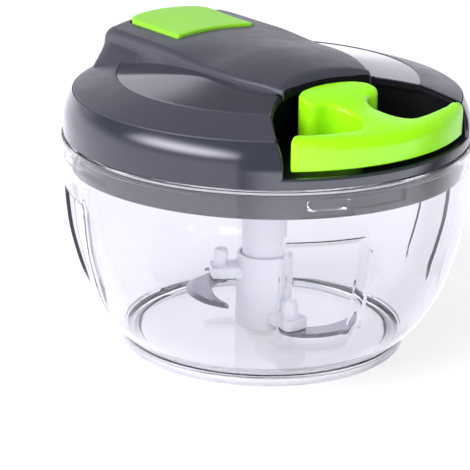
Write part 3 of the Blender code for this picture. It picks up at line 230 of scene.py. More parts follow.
def studio_light(tree):
    """What the object mirrors, in a dim room.

    A white cove low behind it, a tall screen with a lamp to the left, a card in front to the right.
    """
    direction = add_node(tree, "TexCoord").outputs["Generated"]
    up = add_node(tree, "SeparateXYZ", {0: direction}).outputs["Z"]
    screen = along(tree, direction, math.sin(SCREEN_EDGE), -math.cos(SCREEN_EDGE))
    left_side = between(tree, screen, -0.02, 0.02)
    low = between(tree, up, 0.0, 0.30, SCREEN_LIGHT, 0.0)
    screen = combined(tree, "MULTIPLY", left_side, low)
    cove = between(tree, along(tree, direction, 0.0, 1.0), 0.30, 0.65)
    rightward = along(tree, direction, 1.0, 0.0)
    bright = between(tree, rightward, -0.10, 0.14, COVE_LIGHT, COVE_LIGHT_RIGHT)
    cove = combined(tree, "MULTIPLY", cove, between(tree, up, 0.42, 0.52, 1.0, 0.0), bright)
    lamp = between(tree, along(tree, direction, -0.743, -0.669), 0.69, 0.92, 0.0, LAMP_LIGHT)
    bottom, top = between(tree, up, 0.20, 0.42), between(tree, up, 0.42, 0.66, 1.0, 0.0)
    lamp = combined(tree, "MULTIPLY", lamp, left_side, bottom, top)
    card = between(tree, along(tree, direction, 0.707, -0.707), 0.45, 0.75, 0.0, CARD_LIGHT)
    card = combined(tree, "MULTIPLY", card, between(tree, up, -0.22, -0.06, 1.0, 0.0))
    brightest = combined(tree, "MAXIMUM", screen, cove)
    return combined(tree, "ADD", brightest, lamp, card, ROOM_LIGHT)


def background(tree, colour, strength):
    inputs = {"Color": (*colour, 1.0), "Strength": strength}
    return add_node(tree, "Background", inputs).outputs[0]


def light_stage():
    world = bpy.data.worlds.new("studio")
    SCENE.world = world
    world.use_nodes = True
    tree = world.node_tree
    tree.nodes.clear()
    path = add_node(tree, "LightPath").outputs
    around = background(tree, (0.91, 0.90, 1.0), studio_light(tree))
    through = background(tree, (0.97, 0.97, 1.0), THROUGH_LIGHT)
    seen = background(tree, (1.0, 1.0, 1.0), 1.0)
    inputs = {0: path["Is Transmission Ray"], 1: around, 2: through}
    inside = add_node(tree, "MixShader", inputs).outputs[0]
    inputs = {0: path["Is Camera Ray"], 1: inside, 2: seen}
    surface = add_node(tree, "MixShader", inputs).outputs[0]
    add_node(tree, "OutputWorld", {"Surface": surface})
    area_light("key_left", (-0.62, -0.50, 0.80), 0.75, 6.0, height=0.30)
    area_light("fill_front", (0.30, -0.90, 0.35), 0.50, 3.5)
    area_light("overhead", (0.0, -0.15, 1.10), 0.50, 2.5)


def add_floor():
    bm = bmesh.new()
    bmesh.ops.create_grid(bm, x_segments=1, y_segments=1, size=3.0)
    mesh = bpy.data.meshes.new("floor")
    bm.to_mesh(mesh)
    bm.free()
    floor = bpy.data.objects.new("floor", mesh)
    floor.location.z = -0.0002
    SCENE.collection.objects.link(floor)
    tree, shader = new_material("floor_white")
    inputs = {"Base Color": (0.30, 0.30, 0.31, 1.0), "Roughness": 0.60}
    inputs |= {"Emission Color": (1.0, 1.0, 1.0, 1.0), "Emission Strength": 0.72}
    fill(tree, shader, inputs)
    mesh.materials.append(MATERIALS["floor_white"])
    floor.visible_glossy = False


# Materials

MATERIALS = {}


def new_material(name):
    MATERIALS[name] = bpy.data.materials.new(name)
    MATERIALS[name].use_nodes = True
    tree = MATERIALS[name].node_tree
    return tree, tree.nodes["Principled BSDF"]


def noise(tree, scale, detail=4.0, stretch=(1.0, 1.0, 1.0)):
    place = add_node(tree, "TexCoord").outputs["Object"]
    place = add_node(tree, "Mapping", {"Vector": place, "Scale": stretch}).outputs["Vector"]
    inputs = {"Vector": place, "Scale": scale, "Detail": detail, "Roughness": 0.55}
    return add_node(tree, "TexNoise", inputs).outputs["Fac"]


def spread(tree, value, low, high):
    """The middle part of a noise, moved into the range from low to high."""
    inputs = {"Value": value, "From Min": 0.3, "From Max": 0.7, "To Min": low, "To Max": high}
    return add_node(tree, "MapRange", inputs).outputs["Result"]


def bump(tree, shader, value, strength, distance):
    inputs = {"Height": value, "Strength": strength, "Distance": distance}
    fill(tree, shader, {"Normal": add_node(tree, "Bump", inputs).outputs["Normal"]})


def colour_between(tree, value, first, second):
    inputs = {"Factor": value, "A": (*first, 1.0), "B": (*second, 1.0)}
    return add_node(tree, "Mix", inputs, data_type="RGBA").outputs["Result"]


def subsurface(weight, radius, scale):
    return {"Subsurface Weight": weight, "Subsurface Radius": radius, "Subsurface Scale": scale}


def plastic(name, colour, roughness, grain=0.0, vary=0.03, coat=0.0, soft=0.0, shine=0.5):
    """Moulded plastic: a slight change of shade, an uneven polish and a fine grain."""
    tree, shader = new_material(name)
    light = tuple(min(c * 1.04, 1.0) for c in colour)
    dark = tuple(c * 0.96 for c in colour)
    inputs = {
        "Base Color": colour_between(tree, noise(tree, 40.0, 3.0), dark, light),
        "Roughness": spread(tree, noise(tree, 160.0, 5.0), roughness - vary, roughness + vary),
        "IOR": 1.50,
        "Specular IOR Level": shine,
        "Coat Weight": coat,
        "Coat Roughness": 0.08,
    }
    if soft:
        inputs |= subsurface(soft, (0.6, 1.0, 0.4), 0.0015)
    fill(tree, shader, inputs)
    if grain:
        bump(tree, shader, noise(tree, 5200.0, 2.0), grain, 0.00004)


def clear_plastic(name, tint, roughness, haze=0.0):
    tree, shader = new_material(name)
    lowest = max(roughness - 0.01, 0.0)
    inputs = {
        "Base Color": (*tint, 1.0),
        "Transmission Weight": 1.0 - haze,
        "IOR": 1.36,
        "Roughness": spread(tree, noise(tree, 120.0, 3.0), lowest, roughness + 0.015),
    }
    fill(tree, shader, inputs)


def brushed_steel(name, stretch):
    tree, shader = new_material(name)
    lines = noise(tree, 900.0, 3.0, stretch)
    dark, light = (0.27, 0.27, 0.31), (0.37, 0.37, 0.41)
    inputs = {
        "Base Color": colour_between(tree, noise(tree, 90.0), dark, light),
        "Metallic": 1.0,
        "Roughness": spread(tree, lines, 0.16, 0.34),
    }
    fill(tree, shader, inputs)
    bump(tree, shader, lines, 0.10, 0.00002)


def silicone(name, colour):
    tree, shader = new_material(name)
    dark = tuple(c * 0.95 for c in colour)
    inputs = {
        "Base Color": colour_between(tree, noise(tree, 60.0), dark, colour),
        "Roughness": spread(tree, noise(tree, 200.0), 0.42, 0.55),
    }
    fill(tree, shader, inputs | subsurface(0.3, (1.0, 1.0, 1.0), 0.001))
    bump(tree, shader, noise(tree, 2500.0), 0.05, 0.00003)


def braid(name):
    tree, shader = new_material(name)
    place = add_node(tree, "TexCoord").outputs["Object"]
    inputs = {"Vector": place, "Scale": 900.0, "Distortion": 1.5}
    wave = add_node(tree, "TexWave", inputs, bands_direction="DIAGONAL").outputs["Fac"]
    shade = colour_between(tree, wave, (0.55, 0.55, 0.53), (0.86, 0.86, 0.84))
    fill(tree, shader, {"Base Color": shade, "Roughness": 0.85})
    bump(tree, shader, wave, 0.5, 0.0001)


plastic("matte_grey", (0.048, 0.049, 0.064), 0.37, grain=0.25, vary=0.04, shine=0.45)
plastic("gloss_grey", (0.028, 0.030, 0.042), 0.13, vary=0.01, coat=0.2)
plastic("polished_grey", (0.036, 0.037, 0.052), 0.10, vary=0.01, coat=0.6)
# Near black with little shine: painted shade for the shadowed recess walls, deck and edges, which
# are the lid's grey plastic.
plastic("recess_painted_shade", (0.004, 0.004, 0.005), 0.45, shine=0.15)
plastic("lime", (0.33, 0.88, 0.006), 0.27, grain=0.05, vary=0.01, coat=0.12, shine=0.36)
plastic("button_green", (0.27, 0.66, 0.035), 0.42, grain=0.15, soft=0.12, shine=0.35)
plastic("white", (0.90, 0.90, 0.93), 0.30, grain=0.05, soft=0.2)
plastic("inner", (0.55, 0.56, 0.58), 0.45, grain=0.2)
clear_plastic("clear", (0.925, 0.920, 0.965), 0.008)
clear_plastic("clear_rim", (0.955, 0.950, 0.980), 0.008, haze=0.03)
clear_plastic("foot", (0.93, 0.93, 0.97), 0.30, haze=0.25)
brushed_steel("steel", (1.0, 1.0, 14.0))
brushed_steel("blade_steel", (1.0, 9.0, 1.0))
silicone("silicone", (0.80, 0.81, 0.84))
braid("braid")


# Shapes

SEGMENTS = 192
CROWN_STEPS = 6
CROWN_RINGS = 14
RING_SEGMENTS = 240
TUBE_SIDES = 14


def link(name, mesh, *materials):
    obj = bpy.data.objects.new(name, mesh)
    SCENE.collection.objects.link(obj)
    for material in materials:
        mesh.materials.append(MATERIALS[material])
    return obj


def smooth(obj, angle):
    obj.data.shade_smooth()
    obj.data.set_sharp_from_angle(angle=math.radians(angle))
    return obj


def mesh_from(bm, name):
    bmesh.ops.recalc_face_normals(bm, faces=bm.faces[:])
    mesh = bpy.data.meshes.new(name)
    bm.to_mesh(mesh)
    bm.free()
    return mesh


def polar(radius, angle):
    return radius * math.sin(angle), -radius * math.cos(angle)


def arc(radius, start, end, steps):
    return [polar(radius, start + (end - start) * i / steps) for i in range(steps + 1)]


def mix(start, end, share):
    """The point this share of the way from start to end."""
    return tuple(a + (b - a) * share for a, b in zip(start, end))


def ease(value):
    value = min(max(value, 0.0), 1.0)
    return value * value * (3.0 - 2.0 * value)


def rounded_profile(points, radius=0.0, steps=5, closed=True):
    """The polyline with each corner turned into a small arc.

    A corner may give its own radius as a third value.
    """
    count = len(points)
    result = []
    for i, point in enumerate(points):
        here = Vector(point[:2])
        size = point[2] if len(point) > 2 else radius
        back = Vector(points[i - 1][:2]) - here
        ahead = Vector(points[(i + 1) % count][:2]) - here
        is_end = not closed and i in (0, count - 1)
        is_sharp = is_end or size <= 0 or min(back.length, ahead.length) < 1e-7
        angle = math.pi if is_sharp else back.angle(ahead)
        if angle > math.radians(176):
            result.append(tuple(here))
            continue
        reach = min(size / math.tan(angle / 2), back.length * 0.48, ahead.length * 0.48)
        first = here + back.normalized() * reach
        last = here + ahead.normalized() * reach
        for step in range(steps + 1):
            t = step / steps
            result.append(tuple(first * (1 - t) ** 2 + here * 2 * t * (1 - t) + last * t**2))
    return result


def quads(bm, near, far):
    """Four-sided faces between two closed rings of vertices."""
    faces = []
    for i in range(len(near)):
        j = (i + 1) % len(near)
        faces.append(bm.faces.new((near[i], near[j], far[j], far[i])))
    return faces


def lathe(name, profile, segments=SEGMENTS, closed=True, shape=None, angles=None):
    """A turned mesh, with evenly spaced columns unless their angles are given.

    shape, if given, moves each point: it takes angle, radius and height.
    """
    angles = angles or [2 * math.pi * i / segments for i in range(segments)]
    bm = bmesh.new()
    rings = []
    for radius, height in profile:
        if radius <= 1e-9:
            rings.append([bm.verts.new((0.0, 0.0, height))])
            continue
        ring = []
        for angle in angles:
            r, z = shape(angle, radius, height) if shape else (radius, height)
            ring.append(bm.verts.new((*polar(r, angle), z)))
        rings.append(ring)
    if closed:
        rings.append(rings[0])
    for near, far in zip(rings, rings[1:]):
        if len(near) == len(far):
            quads(bm, near, far)
            continue
        pole, ring = (near[0], far) if len(near) == 1 else (far[0], near)
        for i in range(len(ring)):
            bm.faces.new((pole, ring[i], ring[(i + 1) % len(ring)]))
    return mesh_from(bm, name)


def solid(name, levels):
    """A closed mesh of rings of points, one after the other, with both ends filled."""
    bm = bmesh.new()
    rows = [[bm.verts.new(point) for point in level] for level in levels]
    for near, far in zip(rows, rows[1:]):
        quads(bm, near, far)
    bm.faces.new(rows[-1])
    bm.faces.new(list(reversed(rows[0])))
    bmesh.ops.remove_doubles(bm, verts=bm.verts[:], dist=1e-7)
    return mesh_from(bm, name)


def prism(name, outline, bottom, top):
    return solid(name, [[(x, y, z) for x, y in outline] for z in (bottom, top)])


def offset_outline(outline, distance):
    """The closed outline, drawn counter-clockwise, moved inwards by the distance."""
    count = len(outline)
    moved = []
    for i in range(count):
        a, b, c = (Vector(outline[(i + k) % count]) for k in (-1, 0, 1))
        first, last = (b - a), (c - b)
        if first.length < 1e-9:
            first = last
        if last.length < 1e-9:
            last = first
        first, last = first.normalized(), last.normalized()
        normal = Vector((-(first.y + last.y), first.x + last.x))
        normal = normal.normalized() if normal.length > 1e-9 else Vector((-first.y, first.x))
        stretch = max(normal.dot(Vector((-first.y, first.x))), 0.5)
        moved.append(tuple(b + normal * distance / stretch))
    return moved


def counter_clockwise(outline):
    total = sum(a[0] * b[1] - b[0] * a[1] for a, b in zip(outline, outline[1:] + outline[:1]))
    return outline if total > 0 else list(reversed(outline))


def softened(outline, spacing, rounds):
    """The closed outline in even steps, its corners rounded by averaging."""
    points = [Vector(point) for point in outline]
    total = sum((b - a).length for a, b in zip(points, points[1:] + points[:1]))
    count = round(total / spacing)
    even, travelled, step = [], 0.0, total / count
    for a, b in zip(points, points[1:] + points[:1]):
        span = (b - a).length
        while span > 0 and len(even) < count and len(even) * step < travelled + span:
            even.append(a + (b - a) * (len(even) * step - travelled) / span)
        travelled += span
    for _ in range(rounds):
        ahead, behind = even[1:] + even[:1], even[-1:] + even[:-1]
        even = [0.25 * a + 0.5 * p + 0.25 * b for a, p, b in zip(behind, even, ahead)]
    return [tuple(point) for point in even]


def crown(name, outline, top, fillet, foot, foot_fillet=0.0, centre=None):
    """A block with upright walls, a rounded top edge and a top that follows a height function."""
    outline = counter_clockwise(outline)
    size = fillet if callable(fillet) else (lambda x, y: fillet)
    levels = []
    for step in range(4 if foot_fillet else 1):
        angle = math.pi / 2 * step / 3
        inward = foot_fillet * (1 - math.sin(angle))
        height = foot + foot_fillet * (1 - math.cos(angle))
        levels.append([(x, y, height) for x, y in offset_outline(outline, inward)])
    biggest = max(size(x, y) for x, y in outline)
    for step in range(CROWN_STEPS + 1):
        angle = math.pi / 2 * step / CROWN_STEPS
        moved = offset_outline(outline, biggest * (1 - math.cos(angle)))
        ring = []
        for start, end in zip(outline, moved):
            x, y = mix(start, end, size(*start) / biggest)
            ring.append((x, y, top(x, y) - size(*start) * (1 - math.sin(angle))))
        levels.append(ring)
    last = levels[-1]
    for step in range(1, CROWN_RINGS if centre else 1):
        places = [mix(point[:2], centre(*point[:2]), step / CROWN_RINGS) for point in last]
        levels.append([(x, y, top(x, y)) for x, y in places])
    return solid(name, levels)


def shifted(mesh, y):
    mesh.transform(Matrix.Translation((0.0, y, 0.0)))
    return mesh


def join_meshes(name, meshes):
    bm = bmesh.new()
    for mesh in meshes:
        bm.from_mesh(mesh)
    return mesh_from(bm, name)


def triangulated(mesh):
    """The mesh with its flat ends split, which a Boolean takes better."""
    bm = bmesh.new()
    bm.from_mesh(mesh)
    bmesh.ops.triangulate(bm, faces=[face for face in bm.faces if len(face.verts) > 4])
    bm.to_mesh(mesh)
    bm.free()
    return mesh


def boolean(obj, mesh, operation="DIFFERENCE"):
    other = bpy.data.objects.new("other", mesh)
    SCENE.collection.objects.link(other)
    modifier = obj.modifiers.new("cut", "BOOLEAN")
    modifier.operation = operation
    modifier.object = other
    modifier.solver = "EXACT"
    bpy.context.view_layer.update()
    graph = bpy.context.evaluated_depsgraph_get()
    result = bpy.data.meshes.new_from_object(obj.evaluated_get(graph), depsgraph=graph)
    obj.modifiers.clear()
    old = obj.data
    obj.data = result
    result.name = old.name
    bpy.data.meshes.remove(old)
    bpy.data.objects.remove(other, do_unlink=True)


def bevel(obj, width):
    modifier = obj.modifiers.new("edges", "BEVEL")
    modifier.width = width
    modifier.segments = 3
    modifier.limit_method = "ANGLE"
    modifier.angle_limit = math.radians(50.0)
    modifier.harden_normals = True
    obj.data.shade_smooth()
    return obj


def put(obj, body, slot, *nodes):
    """The finished piece rides on its body, in place of its nodes."""
    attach(obj, body)
    if nodes:
        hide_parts(*nodes)


# The bowl

BOWL_OUTER = [
    (0.06425, 0.0655), (0.0641, 0.0620), (0.0640, 0.0580), (0.0638, 0.0525),
    (0.0635, 0.0470), (0.0630, 0.0420), (0.0623, 0.0370), (0.0613, 0.0325),
    (0.0601, 0.0280), (0.0587, 0.0235), (0.0570, 0.0195), (0.0550, 0.0157),
    (0.0527, 0.0120), (0.0504, 0.0092), (0.0478, 0.0062), (0.0454, 0.0040),
]


def catmull(points, steps):
    result = []
    for i in range(len(points) - 1):
        a, b, c, d = (points[min(max(i + k, 0), len(points) - 1)] for k in (-1, 0, 1, 2))
        for step in range(steps):
            t = step / steps
            values = []
            for p, q, r, s in zip(a, b, c, d):
                square = 2 * p - 5 * q + 4 * r - s
                cube = 3 * q - p - 3 * r + s
                values.append(0.5 * (2 * q + (r - p) * t + square * t**2 + cube * t**3))
            result.append(tuple(values))
    result.append(tuple(points[-1]))
    return result


def past_tab(angle):
    """The signed angle from the middle of the nearest tab."""
    return (angle - TAB_ANGLE + TAB_PITCH / 2) % TAB_PITCH - TAB_PITCH / 2


def flute(angle, height):
    across = 1.0 - ease((abs(past_tab(angle)) - math.radians(10.0)) / math.radians(3.3))
    return 0.0025 * across * ease((0.0530 - height) / 0.0032) * ease((height - 0.0130) / 0.0120)


def bowl_shape(angle, radius, height):
    """The flutes, and the tabs inside the mouth."""
    if radius > 0.041 and height > BOWL_BASE + 0.0004:
        radius -= flute(angle, height)
    if TAB_BOTTOM - 0.0001 < height < TAB_TOP + 0.0001 and radius < MOUTH_RADIUS + 0.0004:
        edge = 1.0 - ease((abs(past_tab(angle)) - (TAB_HALF_ANGLE - 0.012)) / 0.012)
        inside = ease((height - TAB_BOTTOM) / 0.0004) * ease((TAB_TOP - height) / 0.0004)
        radius -= 0.0014 * edge * inside
    return radius, height


def make_bowl():
    outer = catmull(BOWL_OUTER, 3)
    inner_top = [(MOUTH_RADIUS, RIM_TOP - 0.0003)]
    heights = [0.0665, 0.0655, TAB_TOP + 0.0004, TAB_TOP, TAB_TOP - 0.0004, 0.0634]
    heights += [TAB_BOTTOM + 0.0004, TAB_BOTTOM, TAB_BOTTOM - 0.0004, 0.0605]
    inner_top += [(MOUTH_RADIUS - 0.00002 * i, z) for i, z in enumerate(heights)]
    inner = [(r - BOWL_WALL, z) for r, z in outer if 0.0062 < z < WALL_TOP]
    inner += [(0.0437, 0.0046), (0.0415, 0.0036), (0.0385, FLOOR_TOP)]
    pin_boss = [(0.0, 0.0036), (0.0042, 0.0036), (0.0046, 0.0032), (0.0046, 0.0003), (0.0050, 0.0)]
    profile = [(r, FLOOR_TOP + z) for r, z in pin_boss]
    profile += [(0.0150, FLOOR_TOP), (0.0280, FLOOR_TOP)]
    profile += inner[::-1] + inner_top[::-1]
    profile += [(MOUTH_RADIUS + 0.0003, RIM_TOP), (RIM_RADIUS - 0.0006, RIM_TOP)]
    profile += [(RIM_RADIUS - 0.0001, RIM_TOP - 0.0003), (RIM_RADIUS, RIM_TOP - 0.0008)]
    profile += [(RIM_RADIUS, RIM_BOTTOM + 0.0003), (RIM_RADIUS - 0.0003, RIM_BOTTOM)]
    profile += outer + [(FOOT_RADIUS - 0.0002, BOWL_BASE), (0.0405, BOWL_BASE)]
    profile += [(0.0401, FLOOR_BOTTOM + 0.0003)]
    profile += [(radius, FLOOR_BOTTOM) for radius in (0.0397, 0.0300, 0.0150, 0.0)]
    mesh = lathe("bowl_clear", profile, 360, closed=False, shape=bowl_shape)
    bowl = smooth(link("bowl_clear", mesh, "clear", "clear_rim"), 28.0)
    for face in bowl.data.polygons:
        face.material_index = int(face.center.z > WALL_TOP)
    put(bowl, "bowl", "clear_plastic", "bowl")


def make_foot():
    profile = [(FOOT_RADIUS, FOOT_HEIGHT, 0.0003), (FOOT_RADIUS, 0.0, 0.0010)]
    profile += [(0.0408, 0.0, 0.0006), (0.0408, FOOT_HEIGHT, 0.0003)]
    mesh = lathe("foot_ring", rounded_profile(profile, 0.0003))
    put(smooth(link("foot_ring", mesh, "foot"), 60.0), "bowl", "foot_rubber", "non_slip_foot")


# The lid cover: a dome with two polished floors, and the raised spine between them


def dome_height(radius):
    return DOME_TOP - DOME_DROP * (radius / DOME_DROP_RADIUS) ** DOME_POWER


def base_height(radius):
    if radius >= SCOOP_RADIUS:
        return dome_height(radius)
    return dome_height(SCOOP_RADIUS) - 0.0002 + 0.16 * (SCOOP_RADIUS - radius)


def recess_side_angle(radius):
    """The angle of the recess's edge at this radius, with the band's slanted edge at the end."""
    table = [(0.0258, 0.0), (0.0291, 24.4), (0.0339, 33.1), (0.0400, 36.87), (0.0480, 38.3)]
    table += [(COVER_RADIUS, 36.9), (BAND_RADIUS + 0.0001, 35.4)]
    if radius <= table[0][0]:
        return 0.0
    for (r0, a0), (r1, a1) in zip(table, table[1:]):
        if radius <= r1:
            return math.radians(a0 + (a1 - a0) * (radius - r0) / (r1 - r0))
    return RECESS_HALF_ANGLE


def open_ring(name, outer, inner, edge, shade_slot, painted_shade_steps=0):
    """A turned shell that is left out over the recess, its outer edge there rounded by edge.

    outer and inner hold matching profile points. The faces at the recess take the slot's near black
    material, painted shade for the recess, and so do the lowest steps of the rounding, which are
    painted dark as shade too.
    """
    bm = bmesh.new()
    loop = list(outer) + list(reversed(inner))
    turns = [math.pi / 2 * i / 6 for i in range(6)]
    ends = [(edge * (1 - math.cos(turn)), edge * (1 - math.sin(turn))) for turn in turns]
    places = [(0.0, *end) for end in ends]
    places += [(j / RING_SEGMENTS, edge, 0.0) for j in range(RING_SEGMENTS + 1)]
    places += [(1.0, *end) for end in reversed(ends)]
    columns = []
    for share, shift, drop in places:
        column = []
        for i, (radius, height) in enumerate(loop):
            start = recess_side_angle(radius)
            start += min(shift / radius, 0.3) if start else 0.0
            lower = Vector((0.0, 0.0))
            if i < len(outer):
                toward = Vector(inner[i]) - Vector(outer[i])
                lower = toward.normalized() * min(drop, toward.length * 0.8)
            angle = start + (2 * math.pi - 2 * start) * share
            x, y = polar(radius + lower.x, angle)
            column.append(bm.verts.new((x, y, height + lower.y)))
        columns.append(column)
    for step, (near, far) in enumerate(zip(columns, columns[1:])):
        # The lowest steps of the rounding at each end take the painted shade.
        dark = step < painted_shade_steps or step >= len(columns) - 1 - painted_shade_steps
        for face in quads(bm, near, far):
            face.material_index = shade_slot if dark else 0
    for column in (columns[0], columns[-1]):
        for i in range(len(outer) - 1):
            face = (column[i], column[i + 1], column[-2 - i], column[-1 - i])
            bm.faces.new(face).material_index = shade_slot
    bmesh.ops.remove_doubles(bm, verts=bm.verts[:], dist=1e-7)
    bmesh.ops.dissolve_degenerate(bm, edges=bm.edges[:], dist=1e-7)
    return mesh_from(bm, name)


def cover_profiles():
    edge = base_height(SCOOP_RADIUS - 1e-9)
    points = [(0.0020, base_height(0.0020))]
    points += [(r / 1000, base_height(r / 1000)) for r in range(6, 47, 4)]
    points.append((SCOOP_RADIUS - 0.0001, edge, 0.0004))
    points.append((SCOOP_RADIUS + 0.0001, dome_height(SCOOP_RADIUS), 0.0003))
    rings = [SCOOP_RADIUS + 0.0010 * i for i in range(1, 13)]
    points += [(radius, dome_height(radius)) for radius in rings]
    steepness = (0.0605 / DOME_DROP_RADIUS) ** (DOME_POWER - 1)
    tilt = math.atan(DOME_DROP * DOME_POWER / DOME_DROP_RADIUS * steepness)
    start = COVER_RADIUS - SHOULDER * (1 - math.sin(tilt))
    centre = dome_height(start) - SHOULDER * math.cos(tilt)
    for step in range(13):
        angle = tilt + (math.pi / 2 - tilt) * step / 12
        across = COVER_RADIUS - SHOULDER + SHOULDER * math.sin(angle)
        points.append((across, centre + SHOULDER * math.cos(angle)))
    points.append((COVER_RADIUS, COVER_BOTTOM, 0.0002))
    outer = rounded_profile(points, steps=4, closed=False)
    inner = []
    for r, z in outer:
        side = ease((r - (COVER_RADIUS - 0.0024)) / 0.0022)
        inner.append((max(r - COVER_WALL * side, 0.0010), z - COVER_WALL * (1 - side)))
    return outer, inner


def make_cover():
    """The dome, open over the recess and under the hump, with polished floors and its edges at the
    recess painted near black as shade.
    """
    outer, inner = cover_profiles()
    mesh = open_ring("lid_dome", outer, inner, 0.0014, 2, painted_shade_steps=4)
    cover = link("lid_dome", mesh, "matte_grey", "polished_grey", "recess_painted_shade")
    half = [(0.0170, -0.0236), (0.0225, -0.0100), (0.0230, 0.0400), (0.0200, 0.0520)]
    under_hump = half + [(-x, y) for x, y in reversed(half)]
    boolean(cover, prism("under_hump", under_hump, COVER_BOTTOM, DOME_TOP))
    for face in cover.data.polygons:
        x, y, z = face.center
        radius = math.hypot(x, y)
        outside = face.material_index == 0 and z > base_height(radius) - 0.0010
        # The lip's faces before the recess take the near black painted shade.
        if abs(x) < LIP_HALF_WIDTH + 0.0002 and y < LIP_REAR:
            face.material_index = 2
        elif radius < SCOOP_RADIUS - 0.00005 and outside:
            face.material_index = 1
    smooth(cover, 40.0)
    put(bevel(cover, 0.00025), "lid", "matte_grey", "lid_cover")


def hump_height(x, y):
    """The dome in front of the axis and the raised back behind it."""
    if y <= 0:
        return dome_height(math.hypot(x, y))
    middle = DOME_TOP + 0.0004 * ease((y - 0.0150) / 0.0380)
    blend = ease(y / 0.025)
    sag = 0.0031 + (0.0014 - 0.0031) * blend
    power = DOME_POWER + (2.0 - DOME_POWER) * blend
    return middle - sag * (abs(x) / HUMP_HALF_WIDTH) ** power


def button_outline(grow):
    half, edge, reach = BUTTON_HALF_WIDTH + grow, BUTTON_FRONT - grow, BUTTON_REAR + grow
    side = [
        (0.0, edge + 0.0016, 0.0),
        (half * 0.5, edge + 0.0012, 0.0),
        (half, edge, 0.0012),
        (half, reach - 0.0050, 0.0020),
        (half * 0.86, reach - 0.0026, 0.0020),
        (half * 0.5, reach - 0.0007, 0.0),
        (0.0, reach, 0.0),
    ]
    points = side + [(-x, y, r) for x, y, r in reversed(side[1:-1])]
    return rounded_profile(points, steps=6)


def subdivided(outline, length):
    """The closed outline with no side longer than the length."""
    result = []
    for a, b in zip(outline, outline[1:] + outline[:1]):
        parts = max(1, math.ceil(math.dist(a, b) / length))
        result += [mix(a, b, i / parts) for i in range(parts)]
    return result


def ray_hit(outline, centre, angle):
    """Where the ray from the centre meets the closed outline."""
    dx, dy = math.cos(angle), math.sin(angle)
    best = None
    for (ax, ay), (bx, by) in zip(outline, outline[1:] + outline[:1]):
        ex, ey = bx - ax, by - ay
        cross = dx * ey - dy * ex
        if abs(cross) < 1e-12:
            continue
        t = ((ax - centre[0]) * ey - (ay - centre[1]) * ex) / cross
        u = ((ax - centre[0]) * dy - (ay - centre[1]) * dx) / cross
        if t > 0 and -1e-6 <= u <= 1 + 1e-6 and (best is None or t < best):
            best = t
    return centre[0] + dx * best, centre[1] + dy * best


def recess_edge(behind=0.0):
    """The recess's rear edge in plan, from just past the middle to the straight side."""
    points = [(-0.0120, -0.0265), (0.0, -0.0258), (0.0120, -0.0265), (0.0185, -0.0284)]
    points += [(0.0240, -0.0320), (0.02975, -0.03767), (0.0340, -0.0430)]
    return [(x, y + behind) for x, y in catmull(points, 8)[8:-8]]


def spine_outline():
    front = [(x, y, 0.0) for x, y in recess_edge() if x < 0.0170]
    side = [(0.0178, -0.0285, 0.0016), (0.0190, -0.0255, 0.0), (0.0206, -0.0215, 0.0)]
    side += [(0.0225, -0.0170, 0.0), (0.0238, -0.0120, 0.0), (0.0245, -0.0060, 0.0)]
    side += [(HUMP_HALF_WIDTH, y / 1000, 0.0) for y in range(-1, 48, 4)]
    corner = math.pi - math.asin(HUMP_HALF_WIDTH / SPINE_REAR)
    rear = [(*point, 0.0) for point in arc(SPINE_REAR, corner, math.pi, 6)]
    rear[0] = (*rear[0][:2], 0.0040)
    half = front + side + rear
    mirrored = [(-x, y, r) for x, y, r in reversed(half[1:-1])]
    return rounded_profile(half + mirrored, steps=8)


def spine_fillet(x, y):
    front = -0.0258 - 0.0075 * (abs(x) / 0.0250) ** 3
    side = 0.0011 + 0.0008 * ease((y + 0.010) / 0.045)
    lip = 0.0032 - 0.0014 * ease((abs(x) - 0.0100) / 0.0070)
    ahead = lip + (side - lip) * ease((y - front - 0.0010) / 0.0060)
    return ahead + 0.0022 * ease((y - 0.0480) / 0.0080)


def spine_plan():
    """The hump's outline in plan and, point for point, the edge of the button's window."""
    centre = (0.0, 0.0370)
    outline = subdivided(counter_clockwise(spine_outline()), 0.0014)
    window = counter_clockwise(button_outline(0.0005))
    angles = [math.atan2(y - centre[1], x - centre[0]) for x, y in outline]
    for x, y in window:
        angle = math.atan2(y - centre[1], x - centre[0])
        if min(abs(angle - other) for other in angles) > 0.004:
            last = max(range(len(outline)), key=lambda k: angles[k] if angles[k] < angle else -9)
            outline.insert(last + 1, ray_hit(outline, centre, angle))
            angles.insert(last + 1, angle)
    return outline, [ray_hit(window, centre, angle) for angle in angles]


def spine_wall(x, y, size, share):
    """A point of the hump's side wall, which flares out towards the rear."""
    out = 0.0110 * ease((y - 0.0180) / 0.0340) * (1 - share) ** 2.2 * min(abs(x) / 0.020, 1.0)
    x1 = x * (1 + out / HUMP_HALF_WIDTH)
    reach = min(SPINE_REAR / math.hypot(x1, y), 1.0)
    x1, y1 = x1 * reach, y * reach
    foot = base_height(math.hypot(x1, y1)) - COVER_WALL
    return x1, y1, foot + (hump_height(x, y) - size - foot) * share


